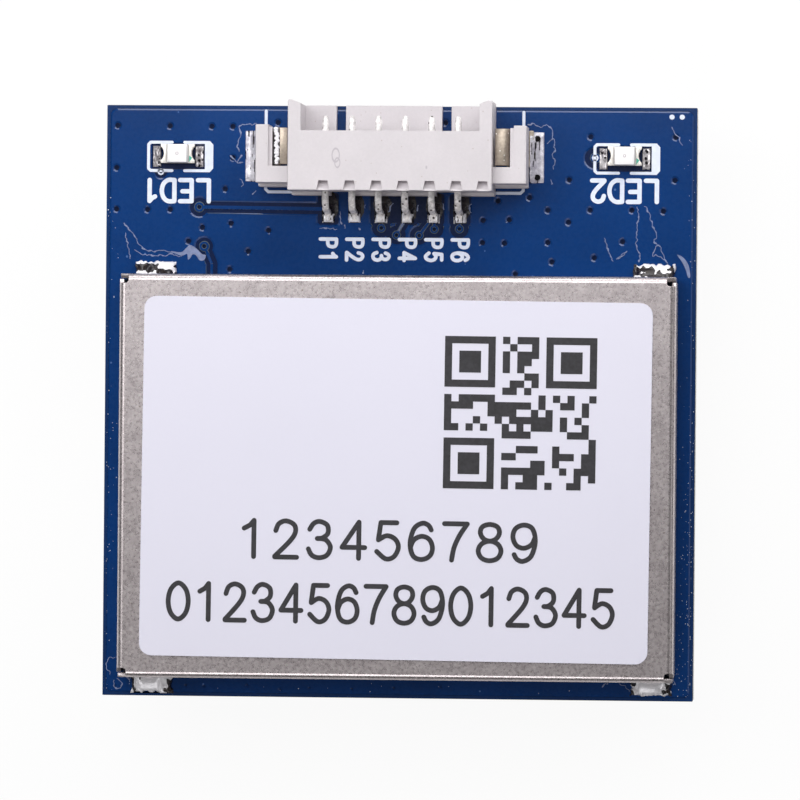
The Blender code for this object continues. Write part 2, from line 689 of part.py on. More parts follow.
def socket_housing():
    """One moulding: a socket with side ears, floor slots and rear notches, and a wing at each side."""
    rear = HOUSING_DEPTH + FLANGE_RUN
    body = [
        (-EAR_OVERHANG, 0),
        (rear, 0),
        (rear, FLANGE_HEIGHT),
        (HOUSING_DEPTH, FLANGE_HEIGHT),
        (HOUSING_DEPTH, HOUSING_HEIGHT),
        (-EAR_OVERHANG, HOUSING_HEIGHT),
    ]
    ends = (-HOUSING_HALF, HOUSING_HALF)
    housing = prism("connector_housing", body, *ends, side_view, "housing_plastic", HOUSING_ROUND)
    join(housing, *[wing(side) for side in (-1, 1)])
    tools = [socket_room()] + [contact_slot(k, x) for k, x in enumerate(pin_places())]
    for side in (-1, 1):
        tools += [floor_slot(side), flange_gap(side), ear_slant(side)]
    tools += [notch(k) for k in range(NOTCH_COUNT)]
    cut(housing, *tools)


def socket_room():
    """The room for the plug, with the roof cut back and the floor flush with the board's edge."""
    front = -EAR_OVERHANG - OVERSHOOT
    roof = HOUSING_HEIGHT - HOUSING_ROOF
    room = [
        (front, -OVERSHOOT),
        (0, -OVERSHOOT),
        (0, HOUSING_FLOOR),
        (SOCKET_DEPTH, HOUSING_FLOOR),
        (SOCKET_DEPTH, roof),
        (ROOF_SETBACK, roof),
        (ROOF_SETBACK, HOUSING_HEIGHT + OVERSHOOT),
        (front, HOUSING_HEIGHT + OVERSHOOT),
    ]
    return prism("socket_room", room, -SOCKET_HALF, SOCKET_HALF, side_view)


def contact_slot(k, x):
    half = PIN_WIDTH / 2 + PIN_SLOT_CLEARANCE
    rise = PIN_SHEET / 2 + PIN_SLOT_CLEARANCE
    x -= SOCKET_SHIFT
    low = (x - half, SOCKET_DEPTH - OVERSHOOT, PIN_LEVEL - rise)
    high = (x + half, HOUSING_DEPTH + OVERSHOOT, PIN_LEVEL + rise)
    return in_socket(f"contact_slot_{k + 1}", low, high)


def floor_slot(side):
    x = side * FLOOR_SLOT_PITCHES * PIN_PITCH
    half = FLOOR_SLOT_WIDTH / 2
    low = (x - half, -OVERSHOOT, -OVERSHOOT)
    high = (x + half, SOCKET_DEPTH - FLOOR_SLOT_END, HOUSING_FLOOR + OVERSHOOT)
    return in_socket(f"floor_slot_{side}", low, high)


def flange_gap(side):
    x = side * FLOOR_SLOT_PITCHES * PIN_PITCH
    half = FLANGE_GAP / 2
    low = (x - half, HOUSING_DEPTH - FLANGE_GAP_RECESS, -OVERSHOOT)
    high = (x + half, HOUSING_DEPTH + FLANGE_RUN + OVERSHOOT, FLANGE_HEIGHT + FLANGE_GAP_RISE)
    return in_socket(f"flange_gap_{side}", low, high)


def ear_slant(side):
    """Takes the inner corner off an ear's front."""
    tip = Vector((HOUSING_HALF - EAR_TIP, -EAR_OVERHANG))
    slant = Vector((EAR_TIP - HOUSING_WALL, EAR_SLANT))
    ends = (tip - slant * OVERRUN, tip + slant * (1 + OVERRUN))
    outline = [*ends, (ends[1].x, -EAR_OVERHANG - OVERSHOOT), (ends[0].x, -EAR_OVERHANG - OVERSHOOT)]
    outline = [(side * x, behind) for x, behind in outline]
    return prism(f"ear_slant_{side}", outline, -OVERSHOOT, HOUSING_HEIGHT + OVERSHOOT, plan_view)


def notch(k):
    """A notch in the roof's rear edge over each contact, and one more at the right: wider at the rear."""
    x = SOCKET_SHIFT + (k - (PIN_COUNT - 1) / 2) * PIN_PITCH
    bm = bmesh.new()
    bmesh.ops.create_cube(bm, size=1)
    run = NOTCH_RUN + OVERSHOOT
    spread = (NOTCH_REAR_WIDTH - NOTCH_WIDTH) * run / NOTCH_RUN
    for vert in bm.verts:
        width = NOTCH_WIDTH + (spread if vert.co.y < 0 else 0)
        vert.co = (vert.co.x * width, vert.co.y * run, vert.co.z * 2 * NOTCH_DEPTH)
    place = (x, EDGE_Y - HOUSING_DEPTH + NOTCH_RUN - run / 2, SEAT_Z + HOUSING_HEIGHT)
    bmesh.ops.translate(bm, vec=place, verts=bm.verts)
    return object_from(bm, f"notch_{k + 1}")


def wing(side):
    """A wing's block with its ledge and pocket, whose inner end lies within the housing's side wall."""
    name = "wing_left" if side < 0 else "wing_right"
    rear = WING_SETBACK + WING_DEPTH
    outline = [
        (WING_SETBACK, WING_LIFT),
        (rear + WING_LEDGE_RUN, WING_LIFT),
        (rear + WING_LEDGE_RUN, WING_LEDGE_HEIGHT),
        (rear, WING_LEDGE_HEIGHT),
        (rear, WING_HEIGHT),
        (WING_SETBACK, WING_HEIGHT),
    ]
    ends = sorted((side * (HOUSING_HALF - HOUSING_WALL / 2), side * WING_HALF))
    whole = prism(name, outline, *ends, side_view, rounded=HOUSING_ROUND)
    cut(whole, *wing_cuts(side))
    return whole


def wing_cuts(side):
    """The pocket for the hold-down, the lower step beside it and the way out for its foot."""
    name = "wing_left" if side < 0 else "wing_right"
    front = WING_SETBACK - OVERSHOOT
    pocket_rear = WING_SETBACK + POCKET_DEPTH
    inner = side * (HOUSING_HALF - HOUSING_WALL)
    pocket = sorted((inner, side * (HOUSING_HALF + POCKET_WIDTH)))
    step = sorted((inner, side * (HOUSING_HALF + POCKET_WIDTH + WING_STEP_WIDTH)))
    tunnel = sorted((inner, side * (WING_HALF + OVERSHOOT)))
    step_floor = WING_HEIGHT - WING_STEP_DROP
    high = WING_HEIGHT + OVERSHOOT
    step_front = WING_SETBACK + WING_STEP_SETBACK
    return [
        in_socket(f"{name}_pocket", (pocket[0], front, -OVERSHOOT), (pocket[1], pocket_rear, high)),
        in_socket(f"{name}_step", (step[0], front, step_floor), (step[1], pocket_rear, high)),
        in_socket(f"{name}_step_front", (step[0], front, -OVERSHOOT), (step[1], step_front, high)),
        in_socket(f"{name}_tunnel", (tunnel[0], front, -OVERSHOOT), (tunnel[1], pocket_rear, FOOT_TUNNEL)),
    ]


def hold_downs():
    """One folded sheet in each wing: a face on top, a leg down and a foot out to its pad."""
    inner = HOUSING_HALF + HOLD_DOWN_GAP
    leg = HOUSING_HALF + POCKET_WIDTH - SEAT - HOLD_DOWN_SHEET / 2
    foot = FOOT_LIFT + HOLD_DOWN_SHEET / 2
    top = HOLD_DOWN_TOP - HOLD_DOWN_SHEET / 2
    tip = WING_HALF + HOLD_DOWN_FOOT_REACH
    corners = [(inner, top), (leg, top), (leg, foot), (tip, foot)]
    path = rounded_path(corners, HOLD_DOWN_BEND, 5)
    middle = EDGE_Y - WING_SETBACK - HOLD_DOWN_SETBACK - HOLD_DOWN_LENGTH / 2
    widths = [HOLD_DOWN_LENGTH] * len(path)
    for side, name in ((-1, "left"), (1, "right")):

        def place(across, along, up, side=side):
            return (SOCKET_SHIFT + side * along, middle + across, SEAT_Z + up)

        ribbon(f"hold_down_{name}", path, widths, HOLD_DOWN_SHEET, place, "tin")
        hold_down_solder(side, name, middle, tip)


def hold_down_solder(side, name, middle, tip):
    """The pad's solder outside the wing, fitted round the hold-down's foot."""
    near, far = WING_HALF + SEAT, WING_HALF + PAD_REACH
    ends = sorted((side * near, side * far))
    rear = PAD_SETBACK + PAD_LENGTH
    low = (SOCKET_SHIFT + ends[0], EDGE_Y - rear, SEAT_Z)
    high = (SOCKET_SHIFT + ends[1], EDGE_Y - PAD_SETBACK, SEAT_Z + PAD_HEIGHT)
    room_ends = sorted((side * (near - OVERSHOOT), side * (tip + SEAT)))
    half = HOLD_DOWN_LENGTH / 2 + SEAT
    room = block(
        f"hold_down_{name}_room",
        (SOCKET_SHIFT + room_ends[0], middle - half, SEAT_Z + FOOT_LIFT - SEAT),
        (SOCKET_SHIFT + room_ends[1], middle + half, SEAT_Z + FOOT_LIFT + HOLD_DOWN_SHEET + SEAT),
    )
    tools = [room]
    if side > 0:
        for k, hole in enumerate(pad_hole_middles()):
            ends = (SEAT_Z - OVERSHOOT, SEAT_Z + PAD_HEIGHT + OVERSHOOT)
            tools.append(drum(f"pad_solder_hole_{k + 1}", hole, PAD_HOLE_RADIUS, *ends))
    solder_lump(f"hold_down_solder_{name}", low, high, *tools)


def pad_hole_middles():
    """The two open holes in the right pad."""
    x = SOCKET_SHIFT + WING_HALF + PAD_REACH - PAD_HOLE_INSET
    front = EDGE_Y - PAD_SETBACK - PAD_HOLE_END
    rear = EDGE_Y - PAD_SETBACK - PAD_LENGTH + PAD_HOLE_END
    return [(x, front), (x, rear)]


def leds():
    """One LED at each side, between the socket's pad and the board's edge."""
    pad_end = WING_HALF + PAD_REACH
    left = (SOCKET_SHIFT - pad_end - BOARD_SIDE / 2) / 2 + LED_LEFT_SHIFT
    right = (SOCKET_SHIFT + pad_end + BOARD_SIDE / 2) / 2 + LED_RIGHT_SHIFT
    for k, x in enumerate((left, right)):
        led(f"led_{k + 1}", x, EDGE_Y - LED_SETBACK)


def led(name, x, y):
    """One LED: a base with its lens, a metal terminal at each end and the solder there."""
    level = SEAT_Z + FOOT_LIFT
    inner_half = LED_LENGTH / 2 - LED_TERMINAL_SHEET - SEAT
    base_size = (2 * inner_half, LED_WIDTH, LED_BASE_HEIGHT)
    base = standing(f"{name}_base", (x, y), base_size, level, "led_base")
    bm = bmesh.new()
    bmesh.ops.create_cube(bm, size=1)
    for vert in bm.verts:
        slope = LED_LENS_TAPER if vert.co.z > 0 else 0
        length = LED_LENS_LENGTH / 2 - slope
        width = LED_WIDTH / 2 - slope / 2
        side = Vector((math.copysign(length, vert.co.x), math.copysign(width, vert.co.y)))
        vert.co = (x + side.x, y + side.y, level + LED_BASE_HEIGHT + SEAT + (slope and LED_LENS_HEIGHT))
    bmesh.ops.bevel(bm, geom=bm.edges[:], offset=CHIP_ROUND / 2, segments=2, affect="EDGES", profile=0.5)
    smooth(object_from(bm, f"{name}_lens", "led_lens"))
    for side, end in ((-1, "a"), (1, "b")):
        cut(base, led_end(name, x, y, level, side, end))


def led_end(name, x, y, level, side, end):
    """A terminal folded over the base's end, and the solder outside it. Returns the end's round recess."""
    outer = side * LED_LENGTH / 2
    inner = side * (LED_LENGTH / 2 - LED_TERMINAL_SHEET)
    reach = side * (LED_LENGTH / 2 - LED_TERMINAL_LENGTH)
    top = level + LED_BASE_HEIGHT + SEAT
    middle = Vector((x, y))

    def place(across, along, up):
        return (middle.x + along, middle.y + across, up)

    sheet = LED_TERMINAL_SHEET
    column = (outer + inner) / 2
    corners = [(reach, top + sheet / 2), (column, top + sheet / 2), (column, level)]
    path = [Vector(corner) for corner in corners]
    terminal = ribbon(f"{name}_terminal_{end}", path, [LED_WIDTH] * 3, sheet, place, "tin")
    centre = (x + outer + side * (LED_RECESS_RADIUS - LED_RECESS_DEPTH), y)
    low, high = level - OVERSHOOT, top + OVERSHOOT
    recess = drum(f"{name}_recess_{end}", centre, LED_RECESS_RADIUS, low, high)
    cut(terminal, recess)
    near = outer + side * SEAT
    far = near + side * LED_SOLDER_LENGTH
    solder_y = y + LED_SOLDER_SHIFT
    low = (x + min(near, far), solder_y - LED_SOLDER_WIDTH / 2, SEAT_Z)
    high = (x + max(near, far), solder_y + LED_SOLDER_WIDTH / 2, SEAT_Z + LED_SOLDER_HEIGHT)
    solder_lump(f"{name}_solder_{end}", low, high)
    return recess


def chip(name, middle, size, finish):
    """A moulded or lidded chip with rounded edges."""
    smooth(standing(name, middle, size, SEAT_Z, finish, CHIP_ROUND, 2))


def passive(name, middle, size, finish):
    """A small two-ended chip: its body with an end cap at each side, fired as one."""
    length, width, height = size
    body = standing(name, middle, (length - PASSIVE_CAP, width, height), SEAT_Z, finish)
    body.data.materials.append(finish_of("tin"))
    for side in (-1, 1):
        x = middle[0] + side * (length - PASSIVE_CAP) / 2
        rise = PASSIVE_CAP_RISE
        cap_size = (PASSIVE_CAP, width + 2 * rise, height + rise)
        join(body, standing(f"{name}_cap_{side}", (x, middle[1]), cap_size, SEAT_Z))


def regulator(name, middle, size, finish):
    """A moulded body with three leads on one side and two on the other."""
    length, width, height = size
    width -= 2 * REGULATOR_LEAD_REACH
    body = standing(name, middle, (length, width, height), SEAT_Z, finish, CHIP_ROUND, 2)
    for side, places in ((-1, (-1, 0, 1)), (1, (-1, 1))):
        for place in places:
            x = middle[0] + place * REGULATOR_LEAD_PITCH
            y = middle[1] + side * width / 2
            lead_size = (REGULATOR_LEAD_WIDTH, 2 * REGULATOR_LEAD_REACH, REGULATOR_LEAD_SHEET)
            join(body, standing(f"{name}_lead_{side}_{place}", (x, y), lead_size, SEAT_Z))


def backup_cell(name, middle, size, finish):
    """A small round cell: a wide can with a narrower cap on it."""
    top = SEAT_Z + CELL_HEIGHT
    step = top - CELL_STEP
    radius = size[0] / 2
    profile = [(0, top), (radius - CELL_RIM, top), (radius - CELL_RIM, step)]
    profile += [(radius, step), (radius, SEAT_Z), (0, SEAT_Z)]
    lathe(name, profile, middle, finish)


def laid_out(rows, side):
    """Makes rows of components from the feed pin towards one side, each row nearer -Y than the last."""
    top = FEED_Y + COMPONENTS_TOP
    for row in rows:
        x = side * (FEED_SOLDER_RADIUS + COMPONENT_GAP)
        depth = max(size[1] for make, name, size, finish in row)
        for make, name, size, finish in row:
            make(name, (x + side * size[0] / 2, top - depth / 2), size, finish)
            x += side * (size[0] + COMPONENT_GAP)
        top -= depth + COMPONENT_GAP


def components():
    """The components under the can, in rows at both sides of the feed pin."""
    receiver = (RECEIVER_SIDE, RECEIVER_SIDE, RECEIVER_HEIGHT)
    oscillator = (OSCILLATOR_LENGTH, OSCILLATOR_WIDTH, OSCILLATOR_HEIGHT)
    crystal = (CRYSTAL_LENGTH, CRYSTAL_WIDTH, CRYSTAL_HEIGHT)
    saw_filter = (FILTER_LENGTH, FILTER_WIDTH, FILTER_HEIGHT)
    amplifier = (AMPLIFIER_LENGTH, AMPLIFIER_WIDTH, AMPLIFIER_HEIGHT)
    memory = (MEMORY_LENGTH, MEMORY_WIDTH, MEMORY_HEIGHT)
    with_leads = (REGULATOR_LENGTH, REGULATOR_WIDTH + 2 * REGULATOR_LEAD_REACH, REGULATOR_HEIGHT)
    cell = (CELL_DIAMETER, CELL_DIAMETER, CELL_HEIGHT)
    capacitor = (PASSIVE_LENGTH, PASSIVE_WIDTH, CAPACITOR_HEIGHT)
    resistor = (PASSIVE_LENGTH, PASSIVE_WIDTH, RESISTOR_HEIGHT)
    inductor = (INDUCTOR_LENGTH, INDUCTOR_WIDTH, INDUCTOR_HEIGHT)
    left = (
        (
            (chip, "receiver_chip", receiver, "chip_resin"),
            (passive, "capacitor_1", capacitor, "capacitor_ceramic"),
        ),
        (
            (backup_cell, "backup_cell", cell, "cell_steel"),
            (passive, "capacitor_2", capacitor, "capacitor_ceramic"),
        ),
        (
            (passive, "resistor_1", resistor, "resistor_glass"),
            (passive, "capacitor_3", capacitor, "capacitor_ceramic"),
            (passive, "capacitor_6", capacitor, "capacitor_ceramic"),
            (passive, "resistor_3", resistor, "resistor_glass"),
        ),
    )
    right = (
        (
            (chip, "oscillator", oscillator, "crystal_metal"),
            (chip, "clock_crystal", crystal, "crystal_metal"),
        ),
        (
            (chip, "saw_filter", saw_filter, "crystal_metal"),
            (chip, "amplifier", amplifier, "chip_resin"),
            (passive, "inductor_1", inductor, "inductor_ferrite"),
        ),
        (
            (chip, "flash_memory", memory, "chip_resin"),
            (passive, "capacitor_4", capacitor, "capacitor_ceramic"),
            (passive, "resistor_2", resistor, "resistor_glass"),
        ),
        (
            (regulator, "voltage_regulator", with_leads, "chip_resin"),
            (passive, "inductor_2", inductor, "inductor_ferrite"),
            (passive, "capacitor_5", capacitor, "capacitor_ceramic"),
        ),
    )
    laid_out(left, -1)
    laid_out(right, 1)


def main():
    circuit_board()
    antenna()
    shield_can()
    can_solder()
    label()
    contacts()
    socket_housing()
    hold_downs()
    leds()
    components()


main()
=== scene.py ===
"""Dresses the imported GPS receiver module: mask, legend, tinned sheet, label print, solder and plastics.

Lengths are in metres unless a comment says millimetres. Places on the board are (right, towards the socket)
pairs in millimetres from the middle of the board, as seen from above.
"""

import math
import random

import bmesh
import bpy
from bpy.props import FloatProperty, FloatVectorProperty, IntProperty, PointerProperty
from mathutils import Matrix, Vector, noise
from mathutils.geometry import delaunay_2d_cdt

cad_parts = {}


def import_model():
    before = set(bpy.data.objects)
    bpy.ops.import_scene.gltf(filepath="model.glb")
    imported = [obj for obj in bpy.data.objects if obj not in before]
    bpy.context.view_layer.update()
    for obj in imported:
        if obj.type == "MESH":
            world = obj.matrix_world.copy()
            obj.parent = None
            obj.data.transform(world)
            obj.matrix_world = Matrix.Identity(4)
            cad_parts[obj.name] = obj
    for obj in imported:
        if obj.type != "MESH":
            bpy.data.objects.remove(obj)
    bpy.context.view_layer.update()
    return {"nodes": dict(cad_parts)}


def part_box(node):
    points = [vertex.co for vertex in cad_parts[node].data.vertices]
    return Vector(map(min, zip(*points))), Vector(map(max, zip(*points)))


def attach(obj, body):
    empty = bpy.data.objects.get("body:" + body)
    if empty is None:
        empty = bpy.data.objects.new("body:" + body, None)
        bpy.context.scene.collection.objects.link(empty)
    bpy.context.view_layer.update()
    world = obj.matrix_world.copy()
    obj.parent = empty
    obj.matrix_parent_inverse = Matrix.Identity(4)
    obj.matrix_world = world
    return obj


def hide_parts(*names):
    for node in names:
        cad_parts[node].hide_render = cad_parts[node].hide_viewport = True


bl_info = {
    "name": "GPS module looks",
    "version": (1, 0, 0),
    "blender": (4, 5, 0),
    "location": "3D View > Sidebar > GPS module",
    "description": "Finishes and fine pieces for the packed GPS receiver module",
    "category": "Object",
}

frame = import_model()

MM = 0.001


def middle_of(node):
    low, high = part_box(node)
    return (low + high) / 2


BOARD_LOW, BOARD_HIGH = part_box("circuit_board")
BOARD_MIDDLE = middle_of("circuit_board")
BOARD_HALF = (BOARD_HIGH.x - BOARD_LOW.x) / 2
TOP = BOARD_HIGH.z
CAN_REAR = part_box("shield_can")[1].y
LABEL_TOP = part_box("label")[1].z
LABEL_MIDDLE = middle_of("label")
LABEL_TURN = math.radians(-0.45)
SOCKET_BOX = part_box("connector_housing")
NOTCH_CUT = 0.5 * MM  # as deep as the CAD's
NOTCH_SHOWN = 0.1 * MM
NOTCH_LENGTH = 0.5 * MM
PIN_COUNT = 6
PIN_NAMES = [f"contact_{k + 1}" for k in range(PIN_COUNT)]
LED_NAMES = ("led_1", "led_2")

# Plated holes under the solder mask, in millimetres from the board's middle
VIAS = (
    (-13.48, 13.03), (-10.99, 13.02), (-9.0, 13.01), (-8.0, 13.01), (-13.52, 11.03), (-7.98, 11.53),
    (-8.34, 10.05), (-13.51, 9.07), (-12.03, 9.05), (-10.95, 9.06), (-9.41, 8.22), (-8.05, 8.42),
    (-10.07, 7.56), (-7.22, 7.1), (-8.09, 6.24), (-5.85, 13.21), (-6.26, 8.1), (2.1, 13.24),
    (4.61, 9.56), (6.1, 9.72), (6.97, 9.13), (3.91, 8.63), (5.15, 8.67), (3.89, 7.58), (4.93, 7.56),
    (6.98, 7.61), (7.18, 6.69), (5.46, 6.11), (8.97, 12.61), (12.98, 12.61), (7.97, 10.57),
    (12.96, 10.58), (8.97, 9.15), (10.94, 9.16), (12.43, 9.12), (7.95, 8.57), (10.51, 7.67),
    (9.18, 6.9), (-10.0, -13.48), (-9.15, -13.5), (-7.09, -13.46), (-13.39, -13.56),
    (-5.53, -13.63), (-4.12, -13.53), (-2.11, -13.56), (-0.13, -13.49), (2.07, -13.44),
)
POWER_VIA = (-9.57, 9.18)
LARGE_VIA = (-9.32, 7.32)
LARGE_TRACK = (LARGE_VIA, (-9.12, 6.9), (-8.94, 6.5), (-8.94, 5.2))
# (contact's number, plated hole beside its foot)
PAD_VIAS = ((3, (-0.91, 8.24)), (4, (-0.19, 7.91)), (5, (0.89, 7.9)), (5, (1.6, 8.2)), (6, (2.79, 8.22)))
LED_VIAS = ((-11.41, 10.84), (9.19, 11.61))
LEGEND_DOTS = ((12.79, 13.56), (13.27, 13.56))

# Openings in the copper, in millimetres: radii, widths, and (width, length) pairs
POWER_CLEARING = 0.45
LARGE_CLEARING = 0.42
PAD_VIA_CLEARING = 0.44
LED_VIA_CLEARINGS = (0.3, 0.5)
FILLED_VIA = 0.03
TRACK_CLEARING = 0.52
PAD_CLEARING = (1.0, 1.5)
PADS_JOINED_CLEARING = (2.6, 1.3)
LED_CLEARING = (2.56, 1.2)
POUR_CORNER = 0.3

# Tracks and plated rings, in millimetres
TRACK_WIDTH = 0.17
LARGE_RING = 0.26
PAD_RING = 0.22
LARGE_MOUTH = 0.09
PAD_MOUTH = 0.08
LARGE_DISH = 0.11
PAD_DISH = 0.1
# The dish's dark colour is painted shade down the hole
DISH_SHARE = 0.8  # of a hole's mouth that its dark dish takes

# Fine layers and beads
FILM = 0.012 * MM
THIN_FILM = 0.006 * MM
FLUX_HEIGHT = 0.02 * MM
# Height of the painted shadows of the contacts' tails
PAINTED_SHADOW_HEIGHT = 0.05 * MM
LEAST_HEIGHT = 0.0005 * MM
BEAD_LINE = 0.5 * MM  # from the left hold-down's inner edge
BEAD_BAND = 0.3 * MM
MARK_HEIGHT = 0.01 * MM
LUMP_GRID = (72, 24)  # steps along the can's wall and away from it
SEED_STEP = 7.3  # between the noise of one lump and the next

# Rounds on the edges of small parts
HOLD_DOWN_ROUND = 0.03 * MM
LED_BASE_ROUND = 0.02 * MM
LED_END_ROUND = 0.01 * MM
ELECTRODE_ROUND = 0.015 * MM

# Half widths of the legend's lines, then (pitch, height, stretch) of its letters, in millimetres
LINE_PEN = 0.07
DOT_PEN = 0.12
RING_PEN = 0.035
PIN_PEN = 0.085
NAME_PEN = 0.105
PIN_LETTERS = (0.62, 0.76, 0.8)
NAME_LETTERS = (0.82, 1.0, 1.0)


# Settings


class BoardSettings(bpy.types.PropertyGroup):
    mask_colour: FloatVectorProperty(
        name="Solder mask over copper",
        description="Colour of the solder mask where copper lies under it",
        subtype="COLOR",
        default=(0.0006, 0.036, 0.168),
    )
    margin_colour: FloatVectorProperty(
        name="Solder mask at the margin",
        description="Colour of the narrow strip between the copper and the board's edge",
        subtype="COLOR",
        default=(0.005, 0.032, 0.128),
    )
    bare_colour: FloatVectorProperty(
        name="Solder mask over laminate",
        description="Colour of the solder mask in the openings of the copper",
        subtype="COLOR",
        default=(0.003, 0.012, 0.056),
    )
    legend_colour: FloatVectorProperty(
        name="Legend ink",
        description="Colour of the printed lines and words on the board",
        subtype="COLOR",
        default=(0.74, 0.79, 0.92),
    )
    copper_height: FloatProperty(
        name="Copper height",
        description="How far the copper lifts the solder mask",
        default=0.045 * MM,
        unit="LENGTH",
        precision=6,
    )
    copper_slope: FloatProperty(
        name="Mask slope",
        description="Width over which the mask falls from the copper to the laminate",
        default=0.075 * MM,
        unit="LENGTH",
        precision=6,
    )
    copper_inset: FloatProperty(
        name="Copper inset",
        description="How far the copper stays inside the board's edge",
        default=0.17 * MM,
        unit="LENGTH",
        precision=6,
    )
    via_radius: FloatProperty(
        name="Via mouth radius",
        description="Radius of the plated holes that stay open",
        default=0.13 * MM,
        unit="LENGTH",
        precision=6,
    )
    legend_height: FloatProperty(
        name="Legend ink height",
        description="Thickness of the printed lines and words",
        default=0.02 * MM,
        unit="LENGTH",
        precision=6,
    )


class CanSettings(bpy.types.PropertyGroup):
    metal_colour: FloatVectorProperty(
        name="Tinned sheet",
        description="Brighter colour of the can's sheet",
        subtype="COLOR",
        default=(0.6, 0.545, 0.55),
    )
    shade_colour: FloatVectorProperty(
        name="Sheet, duller",
        description="Duller colour of the can's sheet",
        subtype="COLOR",
        default=(0.45, 0.40, 0.41),
    )
    edge_round: FloatProperty(
        name="Edge round",
        description="Round on the sheet's cut edges",
        default=0.02 * MM,
        unit="LENGTH",
        precision=6,
    )
    solder_colour: FloatVectorProperty(
        name="Solder",
        description="Colour of fresh solder",
        subtype="COLOR",
        default=(0.95, 0.93, 0.97),
    )
    flux_colour: FloatVectorProperty(
        name="Flux residue",
        description="Colour of the dried flux on the board",
        subtype="COLOR",
        default=(0.36, 0.43, 0.70),
    )


class LabelSettings(bpy.types.PropertyGroup):
    paper_colour: FloatVectorProperty(
        name="Paper",
        description="Colour of the label's paper",
        subtype="COLOR",
        default=(0.71, 0.695, 0.8),
    )
    ink_colour: FloatVectorProperty(
        name="Print",
        description="Colour of the digits and the block of cells",
        subtype="COLOR",
        default=(0.012, 0.011, 0.014),
    )
    code_seed: IntProperty(
        name="Code block seed",
        description="Seed of the block of cells, which holds no data",
        default=28,
    )
    print_height: FloatProperty(
        name="Print height",
        description="Thickness of the print on the label",
        default=0.012 * MM,
        unit="LENGTH",
        precision=6,
    )


class SocketSettings(bpy.types.PropertyGroup):
    plastic_colour: FloatVectorProperty(
        name="Nylon",
        description="Colour of the socket's moulding",
        subtype="COLOR",
        default=(0.64, 0.6, 0.625),
    )
    edge_round: FloatProperty(
        name="Moulded edge round",
        description="Round on the moulding's edges",
        default=0.03 * MM,
        unit="LENGTH",
        precision=6,
    )
    strip_round: FloatProperty(
        name="Contact edge round",
        description="Round on the edges of the six contact strips",
        default=0.07 * MM,
        unit="LENGTH",
        precision=6,
    )
    tin_colour: FloatVectorProperty(
        name="Tinned contacts",
        description="Brighter colour of the contact strips",
        subtype="COLOR",
        default=(0.96, 0.92, 0.92),
    )


class LedSettings(bpy.types.PropertyGroup):
    base_colour: FloatVectorProperty(
        name="Laminate base",
        description="Colour of the plate under each LED's lens",
        subtype="COLOR",
        default=(0.86, 0.84, 0.82),
    )
    lens_colour: FloatVectorProperty(
        name="Lens resin",
        description="Colour of the LEDs' cast lenses",
        subtype="COLOR",
        default=(0.95, 0.93, 0.93),
    )
    mark_colour: FloatVectorProperty(
        name="Polarity mark",
        description="Colour of the small mark at one end of each LED",
        subtype="COLOR",
        default=(0.05, 0.42, 0.30),
    )


class StageSettings(bpy.types.PropertyGroup):
    lens: FloatProperty(
        name="Camera lens",
        description="Focal length that frames the board as the photograph does",
        default=301.38,
        unit="CAMERA",
    )
    place: FloatVectorProperty(
        name="Camera from board",
        description="Place of the camera from the middle of the board's top",
        default=(22.45 * MM, -0.44 * MM, 316 * MM),
        unit="LENGTH",
    )
    turn: FloatVectorProperty(
        name="Camera turn",
        description="Turns of the camera about its own three axes, from straight down",
        subtype="EULER",
        default=(math.radians(0.1), math.radians(4.056), math.radians(0.48)),
    )
    sky: FloatProperty(
        name="Sky light",
        description="Strength of the even light from all round",
        default=0.1,
        min=0,
    )
    lamp: FloatProperty(
        name="Lamp level",
        description="Factor on the power of every lamp",
        default=1.0,
        min=0,
    )


SETTINGS = {
    "gps_board": BoardSettings,
    "gps_can": CanSettings,
    "gps_label": LabelSettings,
    "gps_socket": SocketSettings,
    "gps_led": LedSettings,
    "gps_stage": StageSettings,
}


# Node trees


class Tree:
    """A node tree, with short calls that add and link its nodes."""

    def __init__(self, tree):
        self.tree = tree

    def add(self, kind, inputs=None, **settings):
        node = self.tree.nodes.new("ShaderNode" + kind)
        for name, value in settings.items():
            setattr(node, name, value)
        for name, value in (inputs or {}).items():
            self.put(node.inputs[name], value)
        return node

    def put(self, socket, value):
        if isinstance(value, bpy.types.NodeSocket):
            self.tree.links.new(value, socket)
        else:
            socket.default_value = value

    def maths(self, operation, first, second=0.0, clamp=False):
        return self.add("Math", {0: first, 1: second}, operation=operation, use_clamp=clamp).outputs[0]

    def blend(self, factor, first, second):
        """A colour between first and second."""
        mix = self.add("Mix", {0: factor, 6: first, 7: second}, data_type="RGBA")
        return mix.outputs[2]

    def ramp(self, value, low, high, to_low=0.0, to_high=1.0):
        span = {"Value": value, "From Min": low, "From Max": high, "To Min": to_low, "To Max": to_high}
        return self.add("MapRange", span, clamp=True).outputs[0]

    def place(self):
        return self.add("TexCoord").outputs["Object"]


def solid(colour):
    return (*colour[:3], 1.0)


GROUP_KINDS = {"value": "NodeSocketFloat", "colour": "NodeSocketColor", "vector": "NodeSocketVector"}


def new_group(name, inputs, outputs):
    """A node group with named sockets: (title, kind, default) in and (title, kind) out."""
    group = bpy.data.node_groups.new(name, "ShaderNodeTree")
    for title, kind, default in inputs:
        socket = group.interface.new_socket(title, in_out="INPUT", socket_type=GROUP_KINDS[kind])
        socket.default_value = default
    for title, kind in outputs:
        group.interface.new_socket(title, in_out="OUTPUT", socket_type=GROUP_KINDS[kind])
    entry, leave = group.nodes.new("NodeGroupInput"), group.nodes.new("NodeGroupOutput")
    return Tree(group), entry.outputs, leave.inputs


